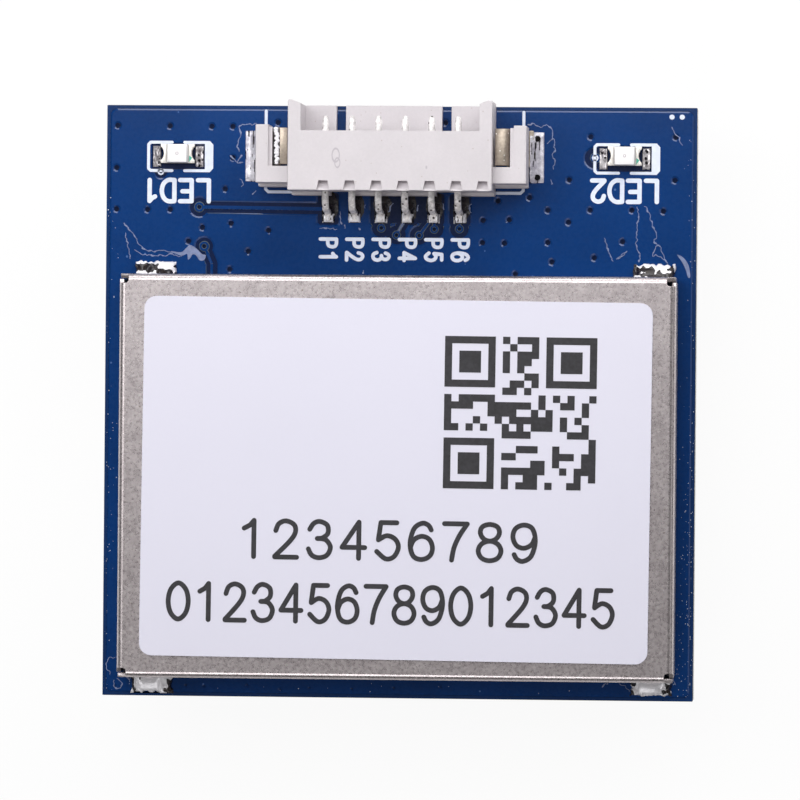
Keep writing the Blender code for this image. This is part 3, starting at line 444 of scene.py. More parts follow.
def group_mottle():
    """Two colours in soft patches, with a finer grain in them."""
    tree, entry, leave = new_group(
        "Mottle",
        [
            ("First", "colour", (1, 1, 1, 1)),
            ("Second", "colour", (0, 0, 0, 1)),
            ("Patches per metre", "value", 400.0),
            ("Grains per metre", "value", 5000.0),
            ("Grain share", "value", 0.4),
        ],
        [("Colour", "colour"), ("Mask", "value")],
    )
    place = tree.place()
    patches = tree.add("TexNoise", {"Vector": place, "Scale": entry["Patches per metre"], "Detail": 3.0})
    grain = tree.add("TexNoise", {"Vector": place, "Scale": entry["Grains per metre"], "Detail": 2.0})
    mixed = tree.add("Mix", {0: entry["Grain share"], 2: patches.outputs[0], 3: grain.outputs[0]}).outputs[0]
    mask = tree.ramp(mixed, 0.35, 0.65)
    tree.put(leave["Mask"], mask)
    tree.put(leave["Colour"], tree.blend(mask, entry["First"], entry["Second"]))
    return tree.tree


def group_skin():
    """A normal with a fine unevenness, and a roughness that varies with it."""
    tree, entry, leave = new_group(
        "Skin",
        [
            ("Bumps per metre", "value", 4000.0),
            ("Depth", "value", 0.00001),
            ("Smoothest", "value", 0.3),
            ("Roughest", "value", 0.5),
        ],
        [("Normal", "vector"), ("Roughness", "value")],
    )
    bumps = tree.add("TexNoise", {"Vector": tree.place(), "Scale": entry["Bumps per metre"], "Detail": 3.0})
    bump = tree.add("Bump", {"Strength": 1.0, "Distance": entry["Depth"], "Height": bumps.outputs[0]})
    tree.put(leave["Normal"], bump.outputs[0])
    rough = tree.ramp(bumps.outputs[0], 0.3, 0.7, entry["Smoothest"], entry["Roughest"])
    tree.put(leave["Roughness"], rough)
    return tree.tree


def group_specks():
    """A mask of small scattered specks, such as dust, pores or spatter."""
    tree, entry, leave = new_group(
        "Specks",
        [("Specks per metre", "value", 1500.0), ("Size", "value", 0.12), ("Share", "value", 0.3)],
        [("Mask", "value")],
    )
    cells = tree.add("TexVoronoi", {"Vector": tree.place(), "Scale": entry["Specks per metre"]})
    near = tree.maths("LESS_THAN", cells.outputs["Distance"], entry["Size"])
    chance = tree.add("SeparateColor", {0: cells.outputs["Color"]}).outputs[0]
    picked = tree.maths("LESS_THAN", chance, entry["Share"])
    tree.put(leave["Mask"], tree.maths("MULTIPLY", near, picked))
    return tree.tree


def group_scuffs():
    """A mask of thin rubbed lines that run mostly one way."""
    tree, entry, leave = new_group(
        "Scuffs",
        [("Lines per metre", "value", 6000.0), ("Stretch", "value", 0.06), ("Threshold", "value", 0.62)],
        [("Mask", "value")],
    )
    stretch = tree.add("CombineXYZ", {0: entry["Stretch"], 1: 1.0, 2: 1.0}).outputs[0]
    along = tree.add("VectorMath", {0: tree.place(), 1: stretch}, operation="MULTIPLY").outputs[0]
    lines = tree.add("TexNoise", {"Vector": along, "Scale": entry["Lines per metre"], "Detail": 2.0})
    edge = tree.maths("ADD", entry["Threshold"], 0.08)
    tree.put(leave["Mask"], tree.ramp(lines.outputs[0], entry["Threshold"], edge))
    return tree.tree


def group_ring():
    """A mask of a thin oval ring seen from above, such as the witness mark of a moulding gate."""
    tree, entry, leave = new_group(
        "Ring",
        [
            ("Middle", "vector", (0, 0, 0)),
            ("Squeeze", "vector", (1, 1, 0)),
            ("Radius", "value", 0.0002),
            ("Line", "value", 0.00004),
        ],
        [("Mask", "value")],
    )
    wavy = tree.add("TexNoise", {"Vector": tree.place(), "Scale": 3500.0}).outputs[0]
    away = tree.add("VectorMath", {0: tree.place(), 1: entry["Middle"]}, operation="SUBTRACT").outputs[0]
    away = tree.add("VectorMath", {0: away, 1: entry["Squeeze"]}, operation="MULTIPLY").outputs[0]
    length = tree.add("VectorMath", {0: away}, operation="LENGTH").outputs["Value"]
    off = tree.maths("ABSOLUTE", tree.maths("SUBTRACT", length, entry["Radius"]))
    wide = tree.maths("MULTIPLY", entry["Line"], tree.maths("ADD", wavy, 0.5))
    tree.put(leave["Mask"], tree.ramp(tree.maths("DIVIDE", off, wide), 1.0, 0.4))
    return tree.tree


GROUP_MAKERS = {
    "Mottle": group_mottle,
    "Skin": group_skin,
    "Specks": group_specks,
    "Scuffs": group_scuffs,
    "Ring": group_ring,
}


def use_group(tree, name, inputs):
    group = bpy.data.node_groups.get(name) or GROUP_MAKERS[name]()
    node = tree.tree.nodes.new("ShaderNodeGroup")
    node.node_tree = group
    for title, value in inputs.items():
        tree.put(node.inputs[title], value)
    return node.outputs


def new_material(name):
    """(tree, principled shader, material) of a new material."""
    material = bpy.data.materials.new(name)
    material.use_nodes = True
    tree = Tree(material.node_tree)
    return tree, material.node_tree.nodes["Principled BSDF"], material


def finish(
    name,
    first,
    second,
    *,
    metallic=0.0,
    rough=(0.35, 0.5),
    patches=400.0,
    grains=5000.0,
    share=0.4,
    bumps=5000.0,
    depth=0.004,
    specks=None,
    scuffs=None,
    rings=(),
    sides=None,
    **sockets,
):
    """A material with patches of two colours, an uneven skin, and specks and scuffs where given.

    depth is in millimetres. specks is (colour, per metre, size, share), scuffs is (colour, per metre,
    threshold), rings are (colour, middle, squeeze, radius, line width), and sides is the colour of faces that
    don't look up or down. Other values are set on the shader's sockets.
    """
    known = bpy.data.materials.get(name)
    if known:
        return known
    tree, shader, material = new_material(name)
    mottle = {"First": solid(first), "Second": solid(second), "Grain share": share}
    mottle |= {"Patches per metre": patches, "Grains per metre": grains}
    colour = use_group(tree, "Mottle", mottle)["Colour"]
    if specks:
        shade, per_metre, size, chance = specks
        dots = {"Specks per metre": per_metre, "Size": size, "Share": chance}
        colour = tree.blend(use_group(tree, "Specks", dots)["Mask"], colour, solid(shade))
    if scuffs:
        shade, per_metre, threshold = scuffs
        lines = {"Lines per metre": per_metre, "Threshold": threshold}
        colour = tree.blend(use_group(tree, "Scuffs", lines)["Mask"], colour, solid(shade))
    for shade, middle, squeeze, radius, line in rings:
        ring = {"Middle": middle, "Squeeze": squeeze, "Radius": radius * MM, "Line": line * MM}
        colour = tree.blend(use_group(tree, "Ring", ring)["Mask"], colour, solid(shade))
    if sides:
        facing = tree.add("SeparateXYZ", {0: tree.add("TexCoord").outputs["Normal"]}).outputs[2]
        flat = tree.ramp(tree.maths("ABSOLUTE", facing), 0.5, 0.8)
        colour = tree.blend(flat, solid(sides), colour)
    skin = {"Bumps per metre": bumps, "Depth": depth * MM, "Smoothest": rough[0], "Roughest": rough[1]}
    skin = use_group(tree, "Skin", skin)
    tree.put(shader.inputs["Base Color"], colour)
    tree.put(shader.inputs["Roughness"], skin["Roughness"])
    tree.put(shader.inputs["Normal"], skin["Normal"])
    shader.inputs["Metallic"].default_value = metallic
    for title, value in sockets.items():
        shader.inputs[title.replace("_", " ")].default_value = value
    return material


# Mesh work

MERGE_DISTANCE = 0.0002 * MM
FLAT_ANGLE = math.radians(0.6)
SHARP_ANGLE = math.radians(28)


def add_piece(name, mesh, material, replaces=()):
    """A new object that rides on the module."""
    obj = bpy.data.objects.new(name, mesh)
    bpy.context.scene.collection.objects.link(obj)
    mesh.materials.clear()
    mesh.materials.append(material)
    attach(obj, "root")
    if replaces:
        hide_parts(*replaces)
    return obj


def mesh_from(bm, name, smooth_below=None):
    """bm as a mesh, smooth-shaded across edges whose angle is under smooth_below degrees."""
    bmesh.ops.recalc_face_normals(bm, faces=bm.faces)
    mesh = bpy.data.meshes.new(name)
    bm.to_mesh(mesh)
    bm.free()
    if smooth_below:
        mesh.shade_smooth()
        mesh.set_sharp_from_angle(angle=math.radians(smooth_below))
    return mesh


def keep_flats(obj):
    """Keeps wide flat faces flat beside their rounded edges."""
    modifier = obj.modifiers.new("flat faces", "WEIGHTED_NORMAL")
    modifier.keep_sharp = True
    modifier.weight = 90


def refined(node, name, material, edge_round, change=None):
    """A finer copy of a CAD node with its edges rounded, which stands for the node.

    change(point) may move its points first.
    """
    bm = bmesh.new()
    bm.from_mesh(frame["nodes"][node].data)
    for vert in bm.verts if change else ():
        change(vert.co)
    bmesh.ops.remove_doubles(bm, verts=bm.verts, dist=MERGE_DISTANCE)
    bmesh.ops.dissolve_limit(bm, angle_limit=FLAT_ANGLE, verts=bm.verts, edges=bm.edges)
    if edge_round:
        edges = [e for e in bm.edges if len(e.link_faces) == 2 and e.calc_face_angle(0) > SHARP_ANGLE]
        bmesh.ops.bevel(
            bm, geom=edges, offset=edge_round, segments=2, affect="EDGES", profile=0.5, clamp_overlap=True
        )
    keep_flats(add_piece(name, mesh_from(bm, name, 40), material, (node,)))


def on_board(x, y):
    """A place on the board given in millimetres, in metres."""
    return Vector((BOARD_MIDDLE.x + x * MM, BOARD_MIDDLE.y + y * MM))


def circle(x, y, radius, steps=20):
    """A loop round a place on the board, in millimetres."""
    turns = [2 * math.pi * k / steps for k in range(steps)]
    return [(x + radius * math.cos(a), y + radius * math.sin(a)) for a in turns]


def rectangle(x, y, width, length, corner=0.0, steps=4):
    """A loop of a rectangle with rounded corners, in millimetres."""
    if not corner:
        return [(x + sx * width / 2, y + sy * length / 2) for sx, sy in ((1, 1), (-1, 1), (-1, -1), (1, -1))]
    loop = []
    for turn, (sx, sy) in enumerate(((1, 1), (-1, 1), (-1, -1), (1, -1))):
        cx, cy = x + sx * (width / 2 - corner), y + sy * (length / 2 - corner)
        for k in range(steps + 1):
            a = (turn + k / steps) * math.pi / 2
            loop.append((cx + corner * math.cos(a), cy + corner * math.sin(a)))
    return loop


def strip(start, end, width):
    """The loop of a straight track."""
    along = (Vector(end) - Vector(start)).normalized() * width / 2
    side = Vector((-along.y, along.x))
    start, end = Vector(start), Vector(end)
    return [tuple(start + side), tuple(start - side), tuple(end - side), tuple(end + side)]


def anticlockwise(loop):
    area = sum(a[0] * b[1] - b[0] * a[1] for a, b in zip(loop, [*loop[1:], loop[0]]))
    return loop if area > 0 else loop[::-1]


def board_place(x, y, level=0.0):
    return Vector((*on_board(x, y), TOP + level))


def sheet(name, shape, height, slope=0.0, place=board_place, level=0.0):
    """A thin closed mesh. shape(inset) gives the loops of its outlines and of its holes, in millimetres.

    Where it has a slope, it falls to nothing over that width at every edge, and shape(slope) is its flat top.
    place(x, y, level) puts a point in space, level being its height over the board or the label.
    """
    outlines, holes = shape(0)
    inner = sum(shape(slope / MM), []) if slope else []
    places, faces = [], []
    for loop in (*outlines, *holes, *inner):
        faces.append(list(range(len(places), len(places) + len(loop))))
        places += [Vector(p) for p in anticlockwise(loop)]
    spots, _, triangles, _, _, owners = delaunay_2d_cdt(places, [], faces, 1, 1e-5)
    solid_loops = range(len(outlines))
    open_loops = range(len(outlines), len(outlines) + len(holes))
    kept = [
        corners
        for corners, loops in zip(triangles, owners)
        if any(k in solid_loops for k in loops) and not any(k in open_loops for k in loops)
    ]
    sides = {pair for a, b, c in kept for pair in ((a, b), (b, c), (c, a))}
    border = [(a, b) for a, b in sides if (b, a) not in sides]
    edge = {a for a, b in border} if slope else set()
    bm = bmesh.new()
    top, foot = {}, {}
    for k in sorted({k for pair in sides for k in pair}):
        foot[k] = bm.verts.new(place(*spots[k], level))
        top[k] = foot[k] if k in edge else bm.verts.new(place(*spots[k], level + height))
    for corners in kept:
        if not edge.issuperset(corners):
            bm.faces.new([top[k] for k in corners])
            bm.faces.new([foot[k] for k in reversed(corners)])
    if not slope:
        for a, b in border:
            bm.faces.new((top[a], foot[a], foot[b], top[b]))
    bmesh.ops.dissolve_limit(bm, angle_limit=0.001, verts=bm.verts, edges=bm.edges)
    return mesh_from(bm, name)


def pen_lines(name, lines, half_width, height, place=board_place, level=0.0, areas=()):
    """Round-ended pen lines and filled areas as one flat mesh. half_width is in millimetres."""
    loops = list(areas)
    for line in lines:
        loops += [circle(*spot, half_width, 12) for spot in line]
        loops += [strip(a, b, 2 * half_width) for a, b in zip(line, line[1:]) if a != b]
    return sheet(name, lambda inset: [loops, []], height, 0, place, level)


def between(p, q, r, s, t):
    """A value at the share t of the way from q to r, on a smooth curve through all four."""
    return 0.5 * (2 * q + (r - p) * t + (2 * p - 5 * q + 4 * r - s) * t * t + (3 * q - p - 3 * r + s) * t**3)


def smooth_line(points, steps=5, closed=False):
    """A rounded line through these points."""
    if closed:
        points = [points[-1], *points, points[0], points[1]]
    else:
        points = [points[0], *points, points[-1]]
    line = []
    for four in zip(points, points[1:], points[2:], points[3:]):
        line += [tuple(between(*values, k / steps) for values in zip(*four)) for k in range(steps)]
    line.append(tuple(points[-2]))
    return line


GLYPHS = {
    "0": [("o", (0.3, 1), (0.08, 0.83), (0, 0.5), (0.08, 0.17), (0.3, 0), (0.52, 0.17), (0.6, 0.5),
           (0.52, 0.83))],
    "1": [("-", (0.1, 0.78), (0.26, 0.87), (0.36, 1), (0.36, 0))],
    "2": [("~", (0.04, 0.73), (0.12, 0.92), (0.31, 1), (0.52, 0.9), (0.56, 0.7), (0.42, 0.45), (0.02, 0.02)),
          ("-", (0.02, 0), (0.6, 0))],
    "3": [("~", (0.04, 0.78), (0.14, 0.94), (0.3, 1), (0.5, 0.9), (0.52, 0.68), (0.38, 0.55), (0.24, 0.53)),
          ("~", (0.24, 0.53), (0.46, 0.5), (0.59, 0.3), (0.5, 0.07), (0.28, 0), (0.1, 0.07), (0.01, 0.24))],
    "4": [("-", (0.44, 0), (0.44, 1), (0, 0.3), (0.6, 0.3))],
    "5": [("-", (0.54, 1), (0.12, 1), (0.06, 0.54)),
          ("~", (0.06, 0.52), (0.28, 0.64), (0.5, 0.55), (0.59, 0.33), (0.48, 0.07), (0.26, 0), (0.02, 0.2))],
    "6": [("~", (0.55, 0.82), (0.47, 0.95), (0.31, 1), (0.1, 0.85), (0, 0.45), (0.08, 0.1), (0.3, 0),
           (0.52, 0.1), (0.59, 0.33), (0.5, 0.56), (0.3, 0.64), (0.1, 0.54), (0.01, 0.34))],
    "7": [("-", (0, 1), (0.6, 1)), ("~", (0.6, 1), (0.4, 0.68), (0.26, 0.34), (0.2, 0))],
    "8": [("o", (0.3, 1), (0.1, 0.93), (0.05, 0.76), (0.14, 0.6), (0.3, 0.54), (0.46, 0.6), (0.55, 0.76),
           (0.5, 0.93)),
          ("o", (0.3, 0.54), (0.09, 0.46), (0, 0.27), (0.09, 0.07), (0.3, 0), (0.51, 0.07), (0.6, 0.27),
           (0.51, 0.46))],
    "9": [("~", (0.05, 0.18), (0.13, 0.05), (0.29, 0), (0.5, 0.15), (0.6, 0.55), (0.52, 0.9), (0.3, 1),
           (0.08, 0.9), (0.01, 0.67), (0.1, 0.44), (0.3, 0.36), (0.5, 0.46), (0.59, 0.66))],
    "P": [("-", (0, 0), (0, 1)),
          ("~", (0, 1), (0.34, 1), (0.56, 0.9), (0.58, 0.65), (0.42, 0.48), (0, 0.46))],
    "L": [("-", (0, 1), (0, 0), (0.52, 0))],
    "E": [("-", (0.55, 1), (0, 1), (0, 0), (0.55, 0)), ("-", (0, 0.53), (0.44, 0.53))],
    "D": [("~", (0, 1), (0.3, 1), (0.52, 0.82), (0.6, 0.5), (0.52, 0.18), (0.3, 0), (0, 0)),
          ("-", (0, 0), (0, 1))],
}


def written(text, pitch, height, stretch=1.0):
    """The pen lines of a text, from the lower left corner of its first glyph."""
    lines = []
    for k, letter in enumerate(text):
        for kind, *points in GLYPHS[letter]:
            placed = [(k * pitch + x * height * stretch, y * height) for x, y in points]
            lines.append(placed if kind == "-" else smooth_line(placed, closed=kind == "o"))
    return lines


def blob(name, low, high, level, shape, steps=(24, 12)):
    """A closed mound over the rectangle from low to high. shape(s, t) is its height at shares of them."""
    bm = bmesh.new()
    rows = []
    for j in range(steps[1] + 1):
        row = []
        for i in range(steps[0] + 1):
            s, t = i / steps[0], j / steps[1]
            x, y = low[0] + (high[0] - low[0]) * s, low[1] + (high[1] - low[1]) * t
            row.append(bm.verts.new((x, y, level + max(shape(s, t), LEAST_HEIGHT))))
        rows.append(row)
    for below, above in zip(rows, rows[1:]):
        for a, b, c, d in zip(below, below[1:], above[1:], above):
            bm.faces.new((a, b, c, d))
    rim = [e for e in bm.edges if e.is_boundary]
    skirt = bmesh.ops.extrude_edge_only(bm, edges=rim)["geom"]
    feet = [item for item in skirt if isinstance(item, bmesh.types.BMVert)]
    for vert in feet:
        vert.co.z = level
    bmesh.ops.contextual_create(bm, geom=[e for e in bm.edges if e.is_boundary])
    return mesh_from(bm, name, 60)


def wobble(s, t, seed, scale=3.0):
    return noise.noise(Vector((s * scale, t * scale, seed)))


def cushion(s, t, power=4.0):
    """1 in the middle of a rectangle and 0 at its edges, steepest at the edges."""
    return max(0.0, (1 - abs(2 * s - 1) ** power) * (1 - abs(2 * t - 1) ** power)) ** 0.5


def give(nodes, material):
    """Puts a finish on CAD nodes that stay as they are."""
    for node in nodes:
        for slot in frame["nodes"][node].material_slots:
            slot.material = material


# Finishes


def solder_finish(dark_reflections=False):
    """Bright solder, or solder with dark patches painted on it as its dark reflections."""
    colour = bpy.context.scene.gps_can.solder_colour
    if dark_reflections:
        # Dark mottle painted as the solder's dark reflections
        return finish(
            "solder with painted dark reflections", (0.86, 0.83, 0.85), (0.16, 0.14, 0.15), metallic=0.45, rough=(0.12, 0.28),
            patches=3600.0, grains=9000.0, share=0.3, bumps=5000.0, depth=0.012,
            specks=((0.012, 0.01, 0.014), 5200.0, 0.42, 0.42),
        )
    return finish(
        "solder", colour, [c * 0.9 for c in colour], metallic=0.08, rough=(0.15, 0.3), patches=2500.0,
        grains=12000.0, bumps=5000.0, depth=0.008, specks=((0.12, 0.10, 0.11), 4600.0, 0.2, 0.12),
    )


def painted_dark_finish():
    """Glossy near-black, for painted shadows and painted dark reflections."""
    return finish(
        "near-black painted shade", (0.006, 0.006, 0.014), (0.03, 0.022, 0.02), rough=(0.1, 0.3), patches=3500.0,
        bumps=5500.0, depth=0.012,
    )


def dull_tin_finish():
    """Tin on a pad, with grey patches."""
    return finish(
        "dull pad tin", (0.86, 0.84, 0.90), (0.36, 0.34, 0.41), metallic=0.25, rough=(0.15, 0.35),
        patches=1900.0, grains=7000.0, share=0.3, bumps=3500.0, depth=0.02,
    )


def hold_down_finish():
    """Tinned strip with a tan tarnish."""
    return finish(
        "tarnished tin", (0.50, 0.43, 0.35), (0.36, 0.30, 0.25), metallic=0.75, rough=(0.3, 0.5),
        patches=1800.0, grains=9000.0, share=0.6, bumps=6000.0, depth=0.008,
        specks=((0.85, 0.82, 0.78), 5200.0, 0.2, 0.12),
    )


def contact_finish():
    colour = bpy.context.scene.gps_socket.tin_colour
    return finish(
        "contact tin", colour, [c * 0.55 for c in colour], metallic=0.12, rough=(0.2, 0.4), patches=5200.0,
        grains=9000.0, share=0.2, bumps=5000.0, depth=0.016, specks=((0.05, 0.04, 0.04), 5200.0, 0.3, 0.3),
    )


def legend_finish():
    colour = bpy.context.scene.gps_board.legend_colour
    return finish(
        "legend ink", colour, [c * 0.88 for c in colour], rough=(0.4, 0.6), patches=3000.0, bumps=9000.0,
        depth=0.006,
    )


def mask_finish(name, colour):
    darker = [c * 0.8 for c in colour]
    return finish(
        name, colour, darker, rough=(0.22, 0.34), patches=260.0, grains=7000.0, share=0.3, bumps=5200.0,
        depth=0.0022, specks=((0.06, 0.13, 0.33), 1300.0, 0.07, 0.25), sides=(0.15, 0.17, 0.10),
        Specular_IOR_Level=0.04, Coat_Weight=0.85, Coat_Roughness=0.09,
    )


# The board


def pin_x(k):
    return (middle_of(PIN_NAMES[k]).x - BOARD_MIDDLE.x) / MM


def pad_middle(k):
    """The middle of a contact's pad, which the socket partly covers."""
    return Vector((pin_x(k), (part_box(PIN_NAMES[k])[0].y - BOARD_MIDDLE.y) / MM + 0.6))


def led_middle(name):
    a, b = middle_of(f"{name}_solder_a"), middle_of(f"{name}_solder_b")
    return ((a + b) / 2 - BOARD_MIDDLE).xy / MM


def track_ends():
    """(start, end) of each track in the copper-free stretches."""
    ends = [(POWER_VIA, pad_middle(0) - Vector((0.3, 0))), *zip(LARGE_TRACK, LARGE_TRACK[1:])]
    return ends + [(via, pad_middle(pin - 1) - Vector((0, 0.3))) for pin, via in PAD_VIAS]


def pour_shape(inset):
    """The outline and the openings of the copper under the mask."""
    settings = bpy.context.scene.gps_board
    half = (BOARD_HALF - settings.copper_inset) / MM - inset
    mouth = settings.via_radius / MM

    def opening(middle, size, corner=0.0):
        return rectangle(*middle, size[0] + 2 * inset, size[1] + 2 * inset, corner)

    bare = [circle(x, y, (mouth if y > 0 else FILLED_VIA) + inset) for x, y in VIAS]
    bare += [circle(*POWER_VIA, POWER_CLEARING + inset), circle(*LARGE_VIA, LARGE_CLEARING + inset)]
    bare += [circle(*via, PAD_VIA_CLEARING + inset) for _, via in PAD_VIAS]
    bare += [strip(start, end, TRACK_CLEARING + 2 * inset) for start, end in track_ends()]
    bare += [opening(pad_middle(k), PAD_CLEARING, 0.15) for k in (0, 2, 3, 4, 5)]
    bare.append(opening((pad_middle(2) + pad_middle(4)) / 2, PADS_JOINED_CLEARING))
    bare += [opening(led_middle(name), LED_CLEARING, 0.1) for name in LED_NAMES]
    bare += [circle(*via, radius + inset) for via, radius in zip(LED_VIAS, LED_VIA_CLEARINGS)]
    return [[rectangle(0, 0, 2 * half, 2 * half, POUR_CORNER)], bare]


def margin_shape(inset):
    """The strip of bare laminate between the copper and the board's edge."""
    clearance = 0.01
    half = BOARD_HALF / MM - clearance
    inner = (BOARD_HALF - bpy.context.scene.gps_board.copper_inset) / MM + clearance
    return [[rectangle(0, 0, 2 * half, 2 * half)], [rectangle(0, 0, 2 * inner, 2 * inner, POUR_CORNER)]]


def margin_flecks():
    """Tiny chips and dust in the mask beside the board's edges, most of them at the right front corner."""
    draw = random.Random(7)
    edge, front, rear = 13.93, -13.8, 13.0
    specks = []
    for _ in range(420):
        y = draw.uniform(front, rear)
        share = ((rear - y) / (rear - front)) ** 2
        if draw.random() < 0.12 + 0.88 * share:
            specks.append((edge - abs(draw.gauss(0, 0.2 + 0.25 * share)), y))
        if draw.random() < 0.14:
            specks.append((-edge + abs(draw.gauss(0, 0.25)), y))
    specks += [(draw.uniform(-13.7, 11.0), draw.uniform(-13.85, -13.3)) for _ in range(16)]
    flat = [circle(x, y, draw.uniform(0.01, 0.026), 5) for x, y in specks]
    level = bpy.context.scene.gps_board.copper_height
    return sheet("flecks", lambda inset: [flat, []], FILM, level=level)


def track_shape(inset):
    """The outlines and the openings of the tracks and plated rings inside the copper-free stretches."""
    large = (POWER_VIA, LARGE_VIA, LED_VIAS[1])
    copper = [circle(*via, LARGE_RING - inset) for via in large]
    copper += [circle(*via, PAD_RING - inset) for _, via in PAD_VIAS]
    copper += [strip(start, end, TRACK_WIDTH - 2 * inset) for start, end in track_ends()]
    mouths = [circle(*via, LARGE_MOUTH + inset, 12) for via in large]
    return [copper, mouths + [circle(*via, PAD_MOUTH + inset, 12) for _, via in PAD_VIAS]]


def via_holes(settings):
    """The mouths of the plated holes as shallow dishes, painted dark as the shade down the holes. In front of
    the can the mask fills the holes.
    """
    mouths = [(*via, settings.via_radius / MM * DISH_SHARE) for via in VIAS if via[1] > 0]
    mouths += [(*via, LARGE_DISH) for via in (POWER_VIA, LARGE_VIA, LED_VIAS[1])]
    mouths += [(*via, PAD_DISH) for _, via in PAD_VIAS]
    corners = 16
    bm = bmesh.new()
    for x, y, radius in mouths:
        rows = []
        for share, height in ((1.0, 0), (1.0, 0.01), (0.75, 0.006), (0.35, 0.003)):
            spots = circle(x, y, radius * share, corners)
            rows.append([bm.verts.new(board_place(*spot, height * MM)) for spot in spots])
        for outer, inner in zip(rows, rows[1:]):
            for k, after in enumerate([*range(1, corners), 0]):
                bm.faces.new((outer[k], outer[after], inner[after], inner[k]))
        bm.faces.new(rows[-1])
        bm.faces.new(rows[0][::-1])
    return mesh_from(bm, "via_holes", 50)


def bracket(name):
    """The legend round an LED: two broken lines, a closed end and a thick bar at the other."""
    x, y = led_middle(name)
    left, right, half, gap = x - 1.42, x + 1.3, 0.67, 0.3
    upper = [(x - gap, y + half), (left + 0.1, y + half), (left, y + half - 0.1), (left, y)]
    lower = [(x - gap, y - half), (left + 0.1, y - half), (left, y - half + 0.1), (left, y)]
    lines = [upper, lower, [(x + gap, y + half), (right, y + half)], [(x + gap, y - half), (right, y - half)]]
    top = half + 0.07
    inner, outer, cut = right - 0.04, right + 0.36, right + 0.2
    upper_end = [(outer, y + top - 0.18), (cut, y + top), (inner, y + top)]
    lower_end = [(inner, y - top), (cut, y - top)]
    return lines, [(outer, y - top + 0.18), *upper_end, *lower_end]


def socket_outline():
    """The legend lines beside the plug socket."""
    low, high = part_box("connector_housing")
    x = ((low.x + high.x) / 2 - BOARD_MIDDLE.x) / MM
    lines = []
    for side in (-1, 1):
        edge = x + side * 6.11
        lines.append([(edge, 13.75), (edge, 13.0)])
        lines.append([(edge, 10.3), (edge, 10.05), (edge - side * 0.13, 9.92), (x + side * 4.7, 9.92)])
    return lines


def legend(settings):
    """Every legend line and word as one mesh."""
    bm = bmesh.new()

    def print_lines(lines, half_width, areas=()):
        level = settings.copper_height
        bm.from_mesh(pen_lines("legend", lines, half_width, settings.legend_height, level=level, areas=areas))

    lines, bars = list(socket_outline()), []
    for name in LED_NAMES:
        around, bar = bracket(name)
        lines += around
        bars.append(bar)
    print_lines(lines, LINE_PEN, bars)
    print_lines([[(x, y), (x + 0.01, y)] for x, y in LEGEND_DOTS], DOT_PEN)
    print_lines([[*circle(*via, 0.12, 14), (via[0] + 0.12, via[1])] for via in LED_VIAS], RING_PEN)
    for k in range(PIN_COUNT):
        x, y = pin_x(k) - 0.36, 7.7
        letters = written(f"P{k + 1}", *PIN_LETTERS)
        print_lines([[(x + b, y - a) for a, b in line] for line in letters], PIN_PEN)
    for name, x, y in (("LED1", -10.65, 9.95), ("LED2", 10.58, 10.05)):
        half = (NAME_LETTERS[0] * 3 + 0.6) / 2
        letters = written(name, *NAME_LETTERS)
        print_lines([[(x + half - a, y + 0.5 - b) for a, b in line] for line in letters], NAME_PEN)
    return mesh_from(bm, "legend")


class GPS_OT_board(bpy.types.Operator):
    """Finish the circuit board: copper under the mask, tracks, plated holes and legend"""

    bl_idname = "gps.board"
    bl_label = "Circuit board"

    def execute(self, context):
        settings = context.scene.gps_board
        bare = mask_finish("solder mask on laminate", settings.bare_colour)
        over = mask_finish("solder mask on copper", settings.mask_colour)
        give(["circuit_board"], bare)
        pour = sheet("copper_pour", pour_shape, settings.copper_height, settings.copper_slope)
        add_piece("copper_pour", pour, over)
        tracks = sheet("tracks", track_shape, settings.copper_height, settings.copper_slope / 2)
        add_piece("tracks", tracks, over)
        margin = mask_finish("solder mask at the margin", settings.margin_colour)
        add_piece("board_margin", sheet("margin", margin_shape, FILM), margin)
        flecks = finish("flecks", settings.legend_colour, settings.mask_colour, patches=9000.0)
        add_piece("margin_flecks", margin_flecks(), flecks)
        # Painted shade down the plated holes
        dark = finish(
            "painted shade in a hole", (0.003, 0.009, 0.036), (0.002, 0.005, 0.02), rough=(0.3, 0.4), patches=4000.0,
            Specular_IOR_Level=0.05,
        )
        add_piece("via_holes", via_holes(settings), dark)
        add_piece("legend", legend(settings), legend_finish())
        return {"FINISHED"}


# The shield can


def ragged(s, t, size, seed, amount=0.12):
    """How far a place lies inside an uneven outline that is open at the wall: 0 outside, 1 well inside."""
    inside = min(s * size[0], (1 - s) * size[0], (1 - t) * size[1])
    inside -= amount * (0.45 + wobble(s * size[0], t * size[1], seed, 5.0))
    return min(1.0, max(0.0, inside / 0.07)) ** 0.5


def lump_shape(seed, size, heights, pillow, rough):
    """A run of solder against the can's wall: a fillet with these heights along it, and a smooth pillow.

    size is (along the wall, away from it), pillow is (start, end, height) along the wall, and rough is the
    height of the uneven rest, in millimetres.
    """

    def shape(s, t):
        spot = s * (len(heights) - 1)
        k = min(int(spot), len(heights) - 2)
        ease = (1 - math.cos((spot - k) * math.pi)) / 2
        crest = heights[k] * (1 - ease) + heights[k + 1] * ease
        start, end, rise = pillow
        across = 2 * (s - start) / (end - start) - 1
        dome = max(0.0, 1 - across * across) * max(0.0, 1 - (2 * t - 0.9) ** 2)
        calm = min(1.0, 4 * dome)
        uneven = rough * (0.5 + wobble(s * 3.2, t * 0.9, seed, 2.3)) * (1 - calm)
        fillet = crest * max(0.0, 1 - t) ** 1.8 + uneven
        return MM * ragged(s, t, size, seed) * (fillet + rise * dome**0.5 + 0.06)

    return shape


def painted_dark_shape(seed, lump, dark):
    """Near-black patches that lie just over a lump: painted shadow and dark reflections. dark(s, t) is above
    0 where they gather.
    """

    def shape(s, t):
        shown = dark(s, t) + wobble(s * 3.2, t, seed + 31, 2.6) > 0
        return lump(s, t) + (FILM if shown else -FILM)

    return shape


